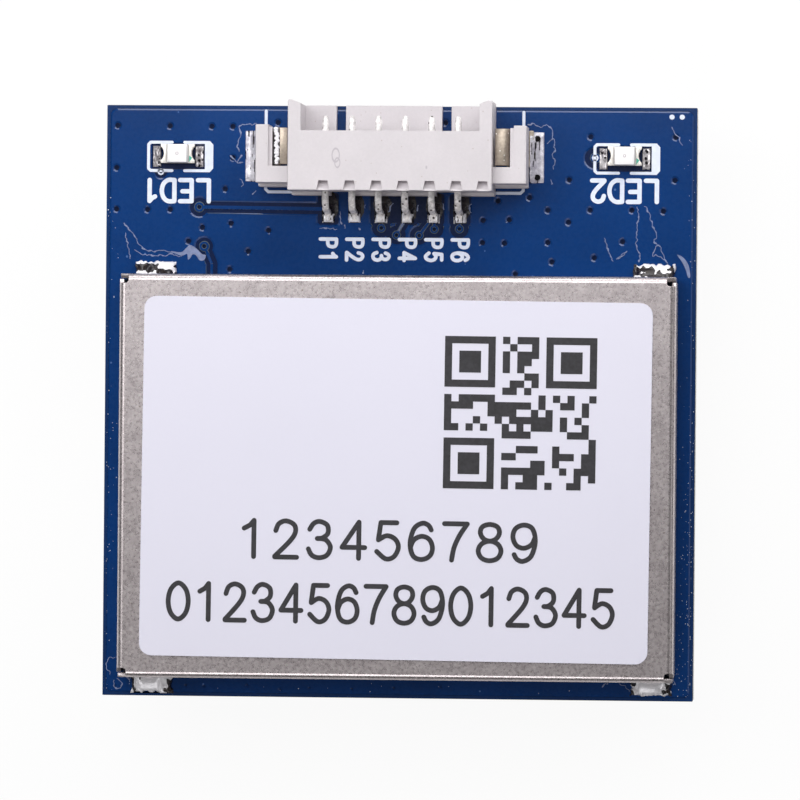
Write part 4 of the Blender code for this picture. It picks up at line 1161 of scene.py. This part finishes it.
def patchy_painted_dark(s, t):
    """Painted dark reflections over the left half but for the far rim, and along the wall at the right."""
    left = 0.42 - 3.2 * max(abs(s - 0.26) - 0.2, abs(t - 0.4) - 0.2, 0)
    right = 0.4 - 3.2 * max(abs(s - 0.8) - 0.12, t - 0.2, 0)
    return max(left, right, -0.3)


def ends_painted_dark(s, t):
    """Painted dark reflections at both ends, bright in the middle."""
    return 0.1 - 1.1 * max(0.0, 1 - (2 * s - 0.95) ** 2 * 1.6)


# (node, heights along the wall, pillow, unevenness, reach past the CAD's lump, where painted dark reflections
# lie)
# The first two lie behind the can, the others in front of it.
CAN_LUMPS = (
    ("can_solder_1", (0.15, 0.2, 0.12, 0.15, 0.45, 0.5, 0.2), (0.62, 0.98, 0.2), 0.2, 0, patchy_painted_dark),
    ("can_solder_2", (0.3, 0.25, 0.2, 0.2, 0.25, 0.35, 0.2), (0.12, 0.85, 0.22), 0.16, 0, patchy_painted_dark),
    ("can_solder_3", (0.3, 0.2, 0.1, 0.1, 0.2, 0.35, 0.3), (0.1, 0.76, 0.16), 0.2, 0.16, ends_painted_dark),
    ("can_solder_4", (0.35, 0.3, 0.1, 0.1, 0.1, 0.2, 0.3), (0.18, 0.86, 0.16), 0.2, 0.06, ends_painted_dark),
)


def can_lumps():
    """The four lumps of solder at the can's corners, each with its own run and its own painted dark
    reflections.
    """
    for k, (node, heights, pillow, rough, reach, dark) in enumerate(CAN_LUMPS):
        low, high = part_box(node)
        near, far = (low.y, high.y) if low.y > CAN_REAR else (high.y, low.y - reach * MM)
        size = ((high.x - low.x) / MM, abs(far - near) / MM)
        seed = k * SEED_STEP
        lump = lump_shape(seed, size, heights, pillow, rough)
        first, last = (low.x, near), (high.x, far)
        mesh = blob(node, first, last, low.z, lump, LUMP_GRID)
        add_piece(f"corner_{node}", mesh, solder_finish(), (node,))
        # Near-black painted dark reflections over each lump
        painted_patches = blob(node, first, last, low.z, painted_dark_shape(seed, lump, dark), LUMP_GRID)
        add_piece(f"stains_{node}", painted_patches, painted_dark_finish())


FLUX_STREAKS = (
    ((-13.12, 8.42), (-12.73, 7.9), (-12.31, 7.24), (-11.83, 7.08), (-11.21, 7.06), (-10.59, 7.02)),
    ((-13.07, 7.94), (-12.92, 7.18), (-12.82, 6.71)),
    ((-12.6, 7.15), (-12.26, 6.93), (-11.61, 6.87), (-10.91, 6.91), (-10.41, 6.8)),
    ((11.19, 9.33), (11.22, 8.96), (11.2, 8.15), (11.16, 7.58), (11.31, 7.02), (11.33, 6.73)),
    ((11.52, 9.33), (11.77, 8.96), (11.91, 8.4), (12.11, 7.97), (12.02, 7.64), (12.3, 7.4), (12.54, 6.74)),
    ((12.2, 7.55), (11.95, 7.05), (12.25, 7.0), (12.64, 6.67)),
    ((9.64, 7.85), (9.83, 7.29), (10.07, 6.72)),
    ((10.26, 6.82), (10.49, 7.06), (10.73, 7.25), (10.59, 7.01), (10.26, 6.82)),
    ((6.0, 13.17), (6.27, 13.18), (6.57, 13.05), (6.73, 13.13), (7.06, 13.08), (7.17, 12.81), (7.16, 12.54),
     (7.26, 12.37), (7.26, 12.0), (7.18, 11.72), (7.29, 11.34), (7.19, 11.09)),
    ((7.16, 12.5), (6.9, 12.26)),
    ((7.08, 10.55), (7.14, 10.33)),
    ((-6.88, 13.09), (-7.23, 13.14), (-7.62, 13.1), (-7.71, 12.97), (-7.61, 12.61), (-7.78, 12.17),
     (-7.69, 11.82)),
    ((-8.13, 11.61), (-7.78, 11.34), (-7.52, 11.3)),
    ((-7.78, 11.31), (-7.56, 11.65)),
    ((-7.64, 10.52), (-7.52, 10.29), (-7.6, 10.15)),
    ((-7.03, 9.82), (-6.85, 9.94)),
    ((-3.81, 8.19), (-3.44, 8.22), (-2.99, 8.15)),
    ((-2.88, 8.99), (-2.81, 8.38)),
    ((-2.63, 8.38), (-2.59, 8.2)),
    ((-2.0, 8.23), (-1.88, 8.17)),
    ((-1.7, 9.36), (-1.69, 9.12)),
    ((-0.4, 9.43), (-0.55, 9.0)),
    ((0.81, 9.33), (0.75, 9.08)),
    ((2.03, 9.37), (2.06, 9.12)),
    ((3.33, 9.41), (3.23, 9.16), (3.36, 8.93)),
    ((-1.76, 6.09), (-1.67, 6.26)),
    ((12.79, 13.05), (13.29, 12.25)),
    ((-13.43, -12.2), (-13.66, -12.25), (-13.8, -12.5), (-13.78, -12.8), (-13.6, -13.0)),
    ((-13.45, -13.3), (-13.4, -13.6), (-13.15, -13.65), (-13.1, -13.35), (-13.3, -13.25)),
    ((-12.98, -13.02), (-12.78, -13.2), (-12.66, -13.4)),
    ((9.73, -13.32), (9.9, -13.2), (10.15, -13.12)),
    ((10.55, -13.2), (10.8, -13.3), (11.05, -13.55)),
    ((12.86, -12.88), (13.02, -13.0), (13.2, -13.2)),
)
FLUX_PATCHES = (
    ((-10.91, 7.08), (-10.41, 7.03), (-10.16, 7.25), (-9.97, 7.37), (-9.67, 7.2), (-9.42, 6.95), (-9.24, 6.9),
     (-9.32, 6.67), (-9.52, 6.65), (-9.7, 6.88), (-9.87, 6.93), (-10.0, 6.73), (-10.09, 6.7), (-10.13, 6.95),
     (-10.36, 6.87), (-10.61, 6.93)),
    ((13.09, 7.07), (13.39, 6.93), (13.63, 6.57), (13.72, 6.06), (13.61, 6.01), (13.49, 6.4), (13.31, 6.75)),
)


def flux_residue():
    """Dried flux: ragged streaks of uneven width, and a few patches."""
    loops = [smooth_line(patch, 4, closed=True)[:-1] for patch in FLUX_PATCHES]
    for streak in FLUX_STREAKS:
        smooth = smooth_line(streak, 9)
        line = [(x + 0.1 * wobble(x, y, 3.0, 6.0), y + 0.1 * wobble(x, y, 9.0, 6.0)) for x, y in smooth]
        for a, b in zip(line, line[1:]):
            half = 0.014 + 0.05 * max(0.0, wobble(*a, 5.0, 7.0))
            loops += [circle(*a, half, 8), strip(a, b, 2 * half)]
    bm = bmesh.new()
    level = bpy.context.scene.gps_board.copper_height
    bm.from_mesh(sheet("flux", lambda inset: [loops, []], FLUX_HEIGHT, level=level))
    return mesh_from(bm, "flux_residue", 50)


class GPS_OT_can(bpy.types.Operator):
    """Build the fine shield can, its corner solder and the flux left beside it"""

    bl_idname = "gps.can"
    bl_label = "Shield can"

    def execute(self, context):
        settings = context.scene.gps_can
        metal = finish(
            "tinned sheet", settings.metal_colour, settings.shade_colour, metallic=0.88, rough=(0.24, 0.33),
            patches=1300.0, grains=9500.0, share=0.6, bumps=7000.0, depth=0.0014,
            specks=((0.34, 0.29, 0.27), 3400.0, 0.13, 0.14),
        )
        refined("shield_can", "can_sheet", metal, settings.edge_round)
        can_lumps()
        flux = finish(
            "flux", settings.flux_colour, [c * 0.7 for c in settings.flux_colour], rough=(0.15, 0.4),
            patches=3000.0, bumps=7000.0, depth=0.01, Alpha=0.62,
        )
        add_piece("flux_residue", flux_residue(), flux)
        return {"FINISHED"}


# The label


# The block of cells and the digits, in millimetres
CODE_LEFT, CODE_TOP, CODE_SIDE = 2.24, 6.78, 7.14
DIGIT_HEIGHT = 1.7
DIGIT_PEN = 0.115  # half width
# (digits, left, foot, pitch, stretch), in millimetres from the label's middle
LABEL_ROWS = (("123456789", -7.25, -3.72, 1.6, 1.05), ("0123456789012345", -10.6, -6.72, 1.33, 0.93))


def label_place(x, y, level=0.0):
    """A place on the label given in millimetres from its middle, along its own edges."""
    turned = Matrix.Rotation(LABEL_TURN, 2) @ Vector((x * MM, y * MM))
    return Vector((LABEL_MIDDLE.x + turned.x, LABEL_MIDDLE.y + turned.y, LABEL_TOP + level))


def code_cells(seed, count=21):
    """A block of printed cells with three plain corner squares. It holds no data."""
    draw = random.Random(seed)
    dark = [[draw.random() < 0.5 for _ in range(count)] for _ in range(count)]
    for cx, cy in ((3, 3), (count - 4, 3), (3, count - 4)):
        for j in range(max(cy - 4, 0), min(cy + 5, count)):
            for i in range(max(cx - 4, 0), min(cx + 5, count)):
                ring = max(abs(i - cx), abs(j - cy))
                dark[j][i] = ring in (0, 1, 3)
    return dark


def code_block(settings):
    """The printed block as flat boxes, one for each run of dark cells."""
    dark = code_cells(settings.code_seed)
    cell = CODE_SIDE / len(dark)
    bm = bmesh.new()
    height = Vector((0, 0, settings.print_height))
    for j, row in enumerate(dark):
        start = None
        for i, filled in enumerate([*row, False]):
            if filled and start is None:
                start = i
            if not filled and start is not None:
                left, right, top = CODE_LEFT + start * cell, CODE_LEFT + i * cell, CODE_TOP - j * cell
                ends = ((left, top - cell), (right, top - cell), (right, top), (left, top))
                foot = [bm.verts.new(label_place(*p)) for p in ends]
                head = [bm.verts.new(vert.co + height) for vert in foot]
                bm.faces.new(foot[::-1])
                bm.faces.new(head)
                for k in range(4):
                    after = (k + 1) % 4
                    bm.faces.new((foot[k], foot[after], head[after], head[k]))
                start = None
    return mesh_from(bm, "code_block")


class GPS_OT_label(bpy.types.Operator):
    """Finish the label and print plain digits and a block of cells on it"""

    bl_idname = "gps.label"
    bl_label = "Label"

    def execute(self, context):
        settings = context.scene.gps_label
        paper = finish(
            "label paper", settings.paper_colour, [c * 0.985 for c in settings.paper_colour],
            rough=(0.42, 0.52), patches=160.0, grains=6000.0, share=0.3, bumps=9000.0, depth=0.0008,
        )
        ink = finish(
            "print", settings.ink_colour, [c * 2 for c in settings.ink_colour], rough=(0.4, 0.55),
            patches=2500.0, bumps=9000.0, depth=0.001,
        )
        give(["label"], paper)
        add_piece("code_block", code_block(settings), ink)
        lines = []
        for text, left, foot, pitch, stretch in LABEL_ROWS:
            for line in written(text, pitch, DIGIT_HEIGHT, stretch):
                lines.append([(left + x, foot + y) for x, y in line])
        digits = pen_lines("label_digits", lines, DIGIT_PEN, settings.print_height, label_place)
        add_piece("label_digits", digits, ink)
        return {"FINISHED"}


# The plug socket


# (right, towards the socket, radius, line width) of the moulding gates' marks, in millimetres
GATE_MARKS = ((-2.84, 11.55, 0.17, 0.035), (-2.76, 11.2, 0.12, 0.03), (1.42, 11.0, 0.0, 0.055))


def foot_painted_shadow(s, t):
    """Painted shadow: dark but for the end of the pad that the foot lies on."""
    return 1.2 * max(abs(s - 0.52) / 0.54, abs(t - 0.18) / 0.3) - 1.0


def foot_fillet(k):
    """The tinned pad and solder round one contact's foot, with painted shadow over the pad past the foot."""
    node = f"contact_solder_{k + 1}"
    low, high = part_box(node)
    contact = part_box(PIN_NAMES[k])
    half = (high.x - low.x) / 2
    pin_half = (contact[1].x - contact[0].x) / 2
    past_tip, length = 0.06 * MM, 0.95 * MM
    start = contact[0].y - past_tip
    end = start + length

    def shape(s, t):
        across = abs(2 * s - 1) * half
        near = max(0.0, 1 - max(0.0, across - pin_half) / (half - pin_half)) ** 1.6
        along = max(0.0, 1 - max(0.0, t - 0.5) * 2.4) ** 1.2
        rise = 0.2 * near * along + 0.045
        crown = max(0.0, 1 - ((t - 0.22) / 0.25) ** 2) ** 0.5 * max(0.0, 1 - abs(2 * s - 1) ** 6)
        crown *= 0.25 + 0.07 * wobble(s, t, 6.0 + k, 5.0)
        return MM * cushion(s, t, 8.0) * (max(rise, crown) + 0.02 * wobble(s, t, 2.0 + k))

    first, last = (low.x, start), (high.x, end)
    mesh = blob(node, first, last, low.z, shape, (18, 24))
    add_piece(f"foot_solder_{k + 1}", mesh, solder_finish(), (node,))
    # Painted shadow over the pad beside the contact
    painted_patches = blob(node, first, last, low.z, painted_dark_shape(2.0 + 3.7 * k, shape, foot_painted_shadow), (24, 32))
    add_piece(f"foot_painted_patches_{k + 1}", painted_patches, painted_dark_finish())


def painted_foot_shadows():
    """Dark ragged patches at the contacts' feet, widest at the right of each: the painted shadows of the
    contacts' tails.
    """
    loops = []
    for k in range(PIN_COUNT):
        x, y = pin_x(k), pad_middle(k).y
        loop = []
        for a in range(36):
            across, along = math.cos(math.radians(10 * a)), math.sin(math.radians(10 * a))
            width = 0.3 + (0.16 if across > 0 else 0.02) + 0.1 * wobble(across, along, k * 3.1, 2.4)
            length = 0.78 * along * (1 + 0.12 * wobble(a, k, 2.0, 0.7))
            loop.append((x + width * across, y + 0.1 + length))
        loops.append(loop)
    return sheet("painted_foot_shadows", lambda inset: [loops, []], PAINTED_SHADOW_HEIGHT)


def pad_fillet(side):
    """A hold-down's pad: tinned, with solder against the foot and near-black spots of painted dark
    reflection, on the right pad mostly towards the foot.
    """
    node = f"hold_down_solder_{side}"
    low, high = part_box(node)
    sign = 1 if side == "right" else -1
    near, far = (low.x, high.x) if sign > 0 else (high.x, low.x)

    def shape(s, t):
        slope = max(0.0, 1 - s / 0.75) ** 1.5
        crest = 0.4 * slope * (1 - abs(2 * t - 1) ** 8)
        uneven = max(0.0, 0.6 - s) * wobble(s, t * 3, 5.0 + sign, 5.0)
        return MM * cushion(s, t, 14.0) * (crest + 0.07 + 0.16 * uneven)

    first, last = (near, low.y), (far, high.y)
    mesh = blob(node, first, last, low.z, shape, (18, 36))
    add_piece(f"pad_solder_{side}", mesh, dull_tin_finish(), (node,))
    # Painted dark reflections on the pad
    spots = painted_dark_shape(sign * 4.0, shape, lambda s, t: -0.1 - 0.5 * s if sign > 0 else -0.25)
    mesh = blob(f"pad_painted_patches_{side}", first, last, low.z, spots, (18, 60))
    add_piece(f"pad_painted_patches_{side}", mesh, painted_dark_finish())


def pad_holes():
    """The open ends of the two plated holes in the right pad, as dark plugs painted as the shade down the
    holes.
    """
    low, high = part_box("hold_down_solder_right")
    radius, height, inward = 0.14 * MM, 0.19 * MM, 0.32 * MM
    bm = bmesh.new()
    for y in (low.y + 0.29 * MM, high.y - 0.33 * MM):
        made = bmesh.ops.create_cone(
            bm, cap_ends=True, segments=20, radius1=radius, radius2=radius, depth=1.0
        )
        for vert in made["verts"]:
            upper = vert.co.z > 0
            vert.co = (vert.co.x + high.x - inward, vert.co.y + y, low.z + (height if upper else 0))
    return mesh_from(bm, "pad_holes", 40)


def edge_beads():
    """The column of bright tin beads along the left hold-down's outer edge."""
    low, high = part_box("hold_down_left")
    draw = random.Random(3)
    bm = bmesh.new()
    end = 0.06 * MM
    y = low.y + end
    while y < high.y - end:
        size = draw.uniform(0.07, 0.11) * MM
        made = bmesh.ops.create_icosphere(bm, subdivisions=2, radius=size)["verts"]
        middle = Vector((high.x - BEAD_LINE - draw.uniform(-0.05, 0.05) * MM, y, high.z))
        for vert in made:
            vert.co = middle + Vector((vert.co.x * 1.2, vert.co.y, vert.co.z * 0.8))
        y += size * 1.15
    return mesh_from(bm, "edge_beads", 60)


def bead_shade():
    """A near-black strip that the beads sit in: painted shade round the beads."""
    low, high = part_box("hold_down_left")
    middle = Vector((high.x - BEAD_LINE, (low.y + high.y) / 2, high.z))
    size = Vector((BEAD_BAND, high.y - low.y - 0.06 * MM, FLUX_HEIGHT))
    bm = bmesh.new()
    bmesh.ops.create_cube(bm, size=1.0, matrix=Matrix.LocRotScale(middle, None, size))
    return mesh_from(bm, "bead_shade")


def raise_notch_floors(point):
    """Makes the notches in the roof's rear edge shallower than the CAD's."""
    low, high = SOCKET_BOX
    at_floor = abs(point.z - (high.z - NOTCH_CUT)) < 0.01 * MM
    if at_floor and point.y < low.y + NOTCH_LENGTH:
        point.z = high.z - NOTCH_SHOWN


class GPS_OT_socket(bpy.types.Operator):
    """Build the fine plug socket: moulding, contacts, hold-downs and their solder"""

    bl_idname = "gps.socket"
    bl_label = "Plug socket"

    def execute(self, context):
        settings = context.scene.gps_socket
        colour = settings.plastic_colour
        gates = []
        for x, y, radius, line in GATE_MARKS:
            gates.append(((0.45, 0.41, 0.45), (*on_board(x, y), 0), (1.0, 0.55, 0), radius, line))
        nylon = finish(
            "nylon", colour, [c * 0.93 for c in colour], rough=(0.38, 0.55), patches=500.0, grains=9000.0,
            bumps=6500.0, depth=0.002, specks=((0.5, 0.44, 0.44), 4200.0, 0.14, 0.14), rings=gates,
        )
        refined(
            "connector_housing", "socket_moulding", nylon, settings.edge_round,
            change=raise_notch_floors,
        )
        tin = contact_finish()
        for k, node in enumerate(PIN_NAMES):
            refined(node, f"pin_strip_{k + 1}", tin, settings.strip_round)
            foot_fillet(k)
        for side in ("left", "right"):
            refined(f"hold_down_{side}", f"anchor_{side}", hold_down_finish(), HOLD_DOWN_ROUND)
            pad_fillet(side)
        # Painted shadows of the contacts' tails, near-black
        add_piece("painted_foot_shadows", painted_foot_shadows(), painted_dark_finish())
        # Painted shade down the right pad's plated holes
        dark = finish(
            "plated hole", (0.004, 0.004, 0.005), (0.012, 0.01, 0.01), rough=(0.6, 0.8), patches=4000.0,
            Specular_IOR_Level=0.05,
        )
        add_piece("pad_holes", pad_holes(), dark)
        add_piece("edge_beads", edge_beads(), solder_finish())
        # Painted shade round the beads
        add_piece("bead_shade", bead_shade(), painted_dark_finish())
        return {"FINISHED"}


# The LEDs


def led_solder(name, end):
    node = f"{name}_solder_{end}"
    low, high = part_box(node)
    near, far = (high.x, low.x) if end == "a" else (low.x, high.x)
    seed = 6.0 if end == "a" else 10.0

    def shape(s, t):
        rise = 0.16 * max(0.0, 1 - s) ** 1.4 + 0.07 + 0.12 * wobble(s, t, seed, 2.4)
        return MM * cushion(s, t, 8.0) * rise

    mesh = blob(node, (near, low.y), (far, high.y), low.z, shape, (20, 30))
    # Solder with painted dark reflections
    add_piece(f"{name}_fillet_{end}", mesh, solder_finish(dark_reflections=True), (node,))


def led_mark(name):
    """The small three-cornered mark on one terminal."""
    low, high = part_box(f"{name}_terminal_b")
    x, y = ((low + high) / 2 - BOARD_MIDDLE).xy / MM
    loop = [(x - 0.12, y - 0.4), (x + 0.03, y - 0.2), (x - 0.12, y - 0.1)]
    return sheet("mark", lambda inset: [[loop], []], MARK_HEIGHT, level=high.z - TOP)


def led_die(name):
    """The ring that the die and its bond show as through the lens."""
    x, y = (middle_of(f"{name}_lens") - BOARD_MIDDLE).xy / MM
    outer, inner = 0.085, 0.035
    ring = [[circle(x, y, outer)], [circle(x, y, inner)]]
    return sheet("die", lambda inset: ring, THIN_FILM, level=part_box(f"{name}_lens")[1].z - TOP)


class GPS_OT_leds(bpy.types.Operator):
    """Build the two LEDs: base, lens, terminals, polarity mark and solder"""

    bl_idname = "gps.leds"
    bl_label = "LEDs"

    def execute(self, context):
        settings = context.scene.gps_led
        base = finish(
            "led laminate", settings.base_colour, [c * 0.9 for c in settings.base_colour], patches=2500.0,
        )
        lens = finish(
            "led resin", settings.lens_colour, [c * 0.94 for c in settings.lens_colour], rough=(0.12, 0.25),
            patches=1800.0, bumps=2500.0, depth=0.006,
        )
        cap = finish("plated end", (0.86, 0.83, 0.78), (0.74, 0.70, 0.66), metallic=0.35, rough=(0.3, 0.45))
        grey = finish("die seen through the resin", (0.52, 0.47, 0.50), (0.62, 0.58, 0.60), patches=4000.0)
        mark = finish("polarity mark", settings.mark_colour, [c * 0.8 for c in settings.mark_colour])
        for name in LED_NAMES:
            refined(f"{name}_base", f"{name}_body", base, LED_BASE_ROUND)
            refined(f"{name}_lens", f"{name}_dome", lens, 0)
            for end in ("a", "b"):
                refined(f"{name}_terminal_{end}", f"{name}_cap_{end}", cap, LED_END_ROUND)
                led_solder(name, end)
            add_piece(f"{name}_mark", led_mark(name), mark)
            add_piece(f"{name}_die", led_die(name), grey)
        return {"FINISHED"}


# Antenna and hidden components


class GPS_OT_antenna(bpy.types.Operator):
    """Finish the patch antenna, its electrode, its pin and its tape"""

    bl_idname = "gps.antenna"
    bl_label = "Patch antenna"

    def execute(self, context):
        ceramic = finish(
            "fired ceramic", (0.56, 0.50, 0.42), (0.48, 0.42, 0.35), rough=(0.55, 0.75), patches=300.0,
            grains=4200.0, share=0.6, bumps=5000.0, depth=0.006,
            specks=((0.28, 0.24, 0.2), 1200.0, 0.09, 0.3),
        )
        silver = finish(
            "fired silver", (0.74, 0.73, 0.70), (0.62, 0.60, 0.56), metallic=0.9, rough=(0.35, 0.55),
            patches=500.0, grains=5200.0, share=0.6, bumps=6000.0, depth=0.005,
            scuffs=((0.82, 0.81, 0.79), 5000.0, 0.64),
        )
        tape = finish(
            "foam tape", (0.018, 0.018, 0.02), (0.03, 0.03, 0.032), rough=(0.75, 0.95), patches=1200.0,
            bumps=3200.0, depth=0.01,
        )
        refined("antenna_ceramic", "ceramic_block", ceramic, 0)
        refined("antenna_electrode", "silver_patch", silver, ELECTRODE_ROUND)
        refined("antenna_feed_pin", "feed_pin", solder_finish(), 0)
        give(["antenna_tape"], tape)
        give(["feed_solder"], solder_finish())
        return {"FINISHED"}


class GPS_OT_components(bpy.types.Operator):
    """Finish the components under the shield can"""

    bl_idname = "gps.components"
    bl_label = "Components"

    def execute(self, context):
        resin = finish(
            "chip resin", (0.018, 0.018, 0.019), (0.03, 0.03, 0.03), rough=(0.45, 0.6), bumps=7000.0,
        )
        lid = finish("plated lid", (0.66, 0.64, 0.58), (0.56, 0.54, 0.49), metallic=1.0, rough=(0.25, 0.4))
        steel = finish("cell steel", (0.6, 0.6, 0.61), (0.5, 0.5, 0.5), metallic=1.0, rough=(0.2, 0.35))
        brown = finish("capacitor body", (0.40, 0.27, 0.17), (0.34, 0.22, 0.14), rough=(0.4, 0.6))
        black = finish("resistor body", (0.02, 0.02, 0.022), (0.04, 0.04, 0.045), rough=(0.2, 0.35))
        ferrite = finish("inductor body", (0.09, 0.08, 0.08), (0.12, 0.11, 0.11), rough=(0.5, 0.7))
        give(["receiver_chip", "flash_memory", "amplifier", "voltage_regulator"], resin)
        give(["oscillator", "clock_crystal", "saw_filter"], lid)
        give(["backup_cell"], steel)
        give([f"capacitor_{k}" for k in range(1, 7)], brown)
        give([f"resistor_{k}" for k in range(1, 4)], black)
        give(["inductor_1", "inductor_2"], ferrite)
        return {"FINISHED"}


# The stage


ON_TOP = (0, 0, TOP)
# (name, place, aimed at, size, watts) of each soft box; lengths in metres
LAMPS = (
    ("panel overhead", (-0.022, 0.079, 0.30), (-0.022, 0.079, 0), (0.10, 0.09), 0.09),
    ("panel behind", (-0.01, 0.053, 0.085), (-0.01, 0.053, 0), (0.14, 0.06), 0.055),
    ("key left", (-0.11, 0.05, 0.17), ON_TOP, (0.12, 0.12), 0.12),
    ("strip behind", (0.05, 0.145, 0.08), ON_TOP, (0.24, 0.05), 0.18),
    ("strip right", (0.15, 0.0, 0.09), ON_TOP, (0.16, 0.05), 0.018),
    ("fill front", (-0.03, -0.14, 0.22), ON_TOP, (0.10, 0.10), 0.12),
)


def lamp(name, place, target, size, power):
    """A soft box that faces the target."""
    data = bpy.data.lights.new(name, "AREA")
    data.shape = "RECTANGLE"
    data.size, data.size_y = size
    data.energy = power
    obj = bpy.data.objects.new(name, data)
    obj.location = place
    obj.rotation_mode = "QUATERNION"
    obj.rotation_quaternion = (Vector(target) - Vector(place)).to_track_quat("-Z", "Y")
    obj.visible_camera = False
    bpy.context.scene.collection.objects.link(obj)


def world(strength):
    """A plain pale sky that the camera sees as white."""
    made = bpy.data.worlds.new("studio")
    made.use_nodes = True
    tree = Tree(made.node_tree)
    made.node_tree.nodes.clear()
    seen = tree.add("LightPath")
    white = tree.maths("MAXIMUM", seen.outputs["Is Camera Ray"], seen.outputs["Is Transmission Ray"])
    level = tree.add("Mix", {0: white, 2: strength, 3: 1.0}).outputs[0]
    sky = tree.add("Background", {"Color": (1, 1, 1, 1), "Strength": level})
    out = tree.add("OutputWorld")
    tree.put(out.inputs["Surface"], sky.outputs[0])
    bpy.context.scene.world = made


def floor():
    """A pale floor that shows as white, with the module's soft shadow on it."""
    mesh = bpy.data.meshes.new("floor")
    side = 1.2
    corners = [(-side, -side, 0), (side, -side, 0), (side, side, 0), (-side, side, 0)]
    mesh.from_pydata(corners, [], [(0, 1, 2, 3)])
    obj = bpy.data.objects.new("floor", mesh)
    bpy.context.scene.collection.objects.link(obj)
    tree, shader, material = new_material("floor")
    mottle = {"First": (0.93, 0.93, 0.93, 1), "Second": (0.91, 0.91, 0.91, 1), "Patches per metre": 20.0}
    tree.put(shader.inputs["Base Color"], use_group(tree, "Mottle", mottle)["Colour"])
    shader.inputs["Roughness"].default_value = 0.9
    glow = tree.add("Emission", {"Color": (1, 1, 1, 1), "Strength": 1.0})
    path = tree.add("LightPath")
    seen = tree.maths("MAXIMUM", path.outputs["Is Camera Ray"], path.outputs["Is Transmission Ray"])
    share = tree.maths("MULTIPLY", seen, 0.93)
    mix = tree.add("MixShader", {0: share, 1: shader.outputs[0], 2: glow.outputs[0]})
    tree.put(material.node_tree.nodes["Material Output"].inputs["Surface"], mix.outputs[0])
    mesh.materials.append(material)


def camera(settings):
    """The camera of the photograph: far above, a little to the right, and turned to the board's middle."""
    data = bpy.data.cameras.new("camera")
    data.lens = settings.lens
    data.clip_start, data.clip_end = 1 * MM, 10
    obj = bpy.data.objects.new("camera", data)
    bpy.context.scene.collection.objects.link(obj)
    x, y, z = settings.turn
    turn = Matrix.Rotation(x, 3, "X") @ Matrix.Rotation(y, 3, "Y") @ Matrix.Rotation(z, 3, "Z")
    obj.rotation_mode = "QUATERNION"
    obj.rotation_quaternion = turn.to_quaternion()
    obj.location = Vector((*BOARD_MIDDLE.xy, TOP)) + Vector(settings.place)
    bpy.context.scene.camera = obj


class GPS_OT_stage(bpy.types.Operator):
    """Set up the floor, the soft light and the camera"""

    bl_idname = "gps.stage"
    bl_label = "Stage"

    def execute(self, context):
        settings = context.scene.gps_stage
        bpy.context.scene.view_settings.view_transform = "Standard"
        world(settings.sky)
        floor()
        for name, place, target, size, power in LAMPS:
            lamp(name, place, target, size, power * settings.lamp)
        camera(settings)
        return {"FINISHED"}


# Panel and registration

OPERATORS = (
    GPS_OT_board,
    GPS_OT_can,
    GPS_OT_label,
    GPS_OT_socket,
    GPS_OT_leds,
    GPS_OT_antenna,
    GPS_OT_components,
    GPS_OT_stage,
)


class GPS_PT_looks(bpy.types.Panel):
    """The module's pieces and their settings"""

    bl_idname = "GPS_PT_looks"
    bl_label = "GPS module"
    bl_space_type = "VIEW_3D"
    bl_region_type = "UI"
    bl_category = "GPS module"

    def draw(self, context):
        for operator in OPERATORS:
            self.layout.operator(operator.bl_idname, text=operator.bl_label)
        for name, group in SETTINGS.items():
            box = self.layout.box()
            for field in group.__annotations__:
                box.prop(getattr(context.scene, name), field)


CLASSES = (*SETTINGS.values(), *OPERATORS, GPS_PT_looks)


def register():
    for made in CLASSES:
        bpy.utils.register_class(made)
    for name, group in SETTINGS.items():
        setattr(bpy.types.Scene, name, PointerProperty(type=group))


def unregister():
    for name in SETTINGS:
        delattr(bpy.types.Scene, name)
    for made in reversed(CLASSES):
        bpy.utils.unregister_class(made)


def main():
    register()
    for operator in OPERATORS:
        area, action = operator.bl_idname.split(".")
        getattr(getattr(bpy.ops, area), action)()


if __name__ == "__main__":
    main()
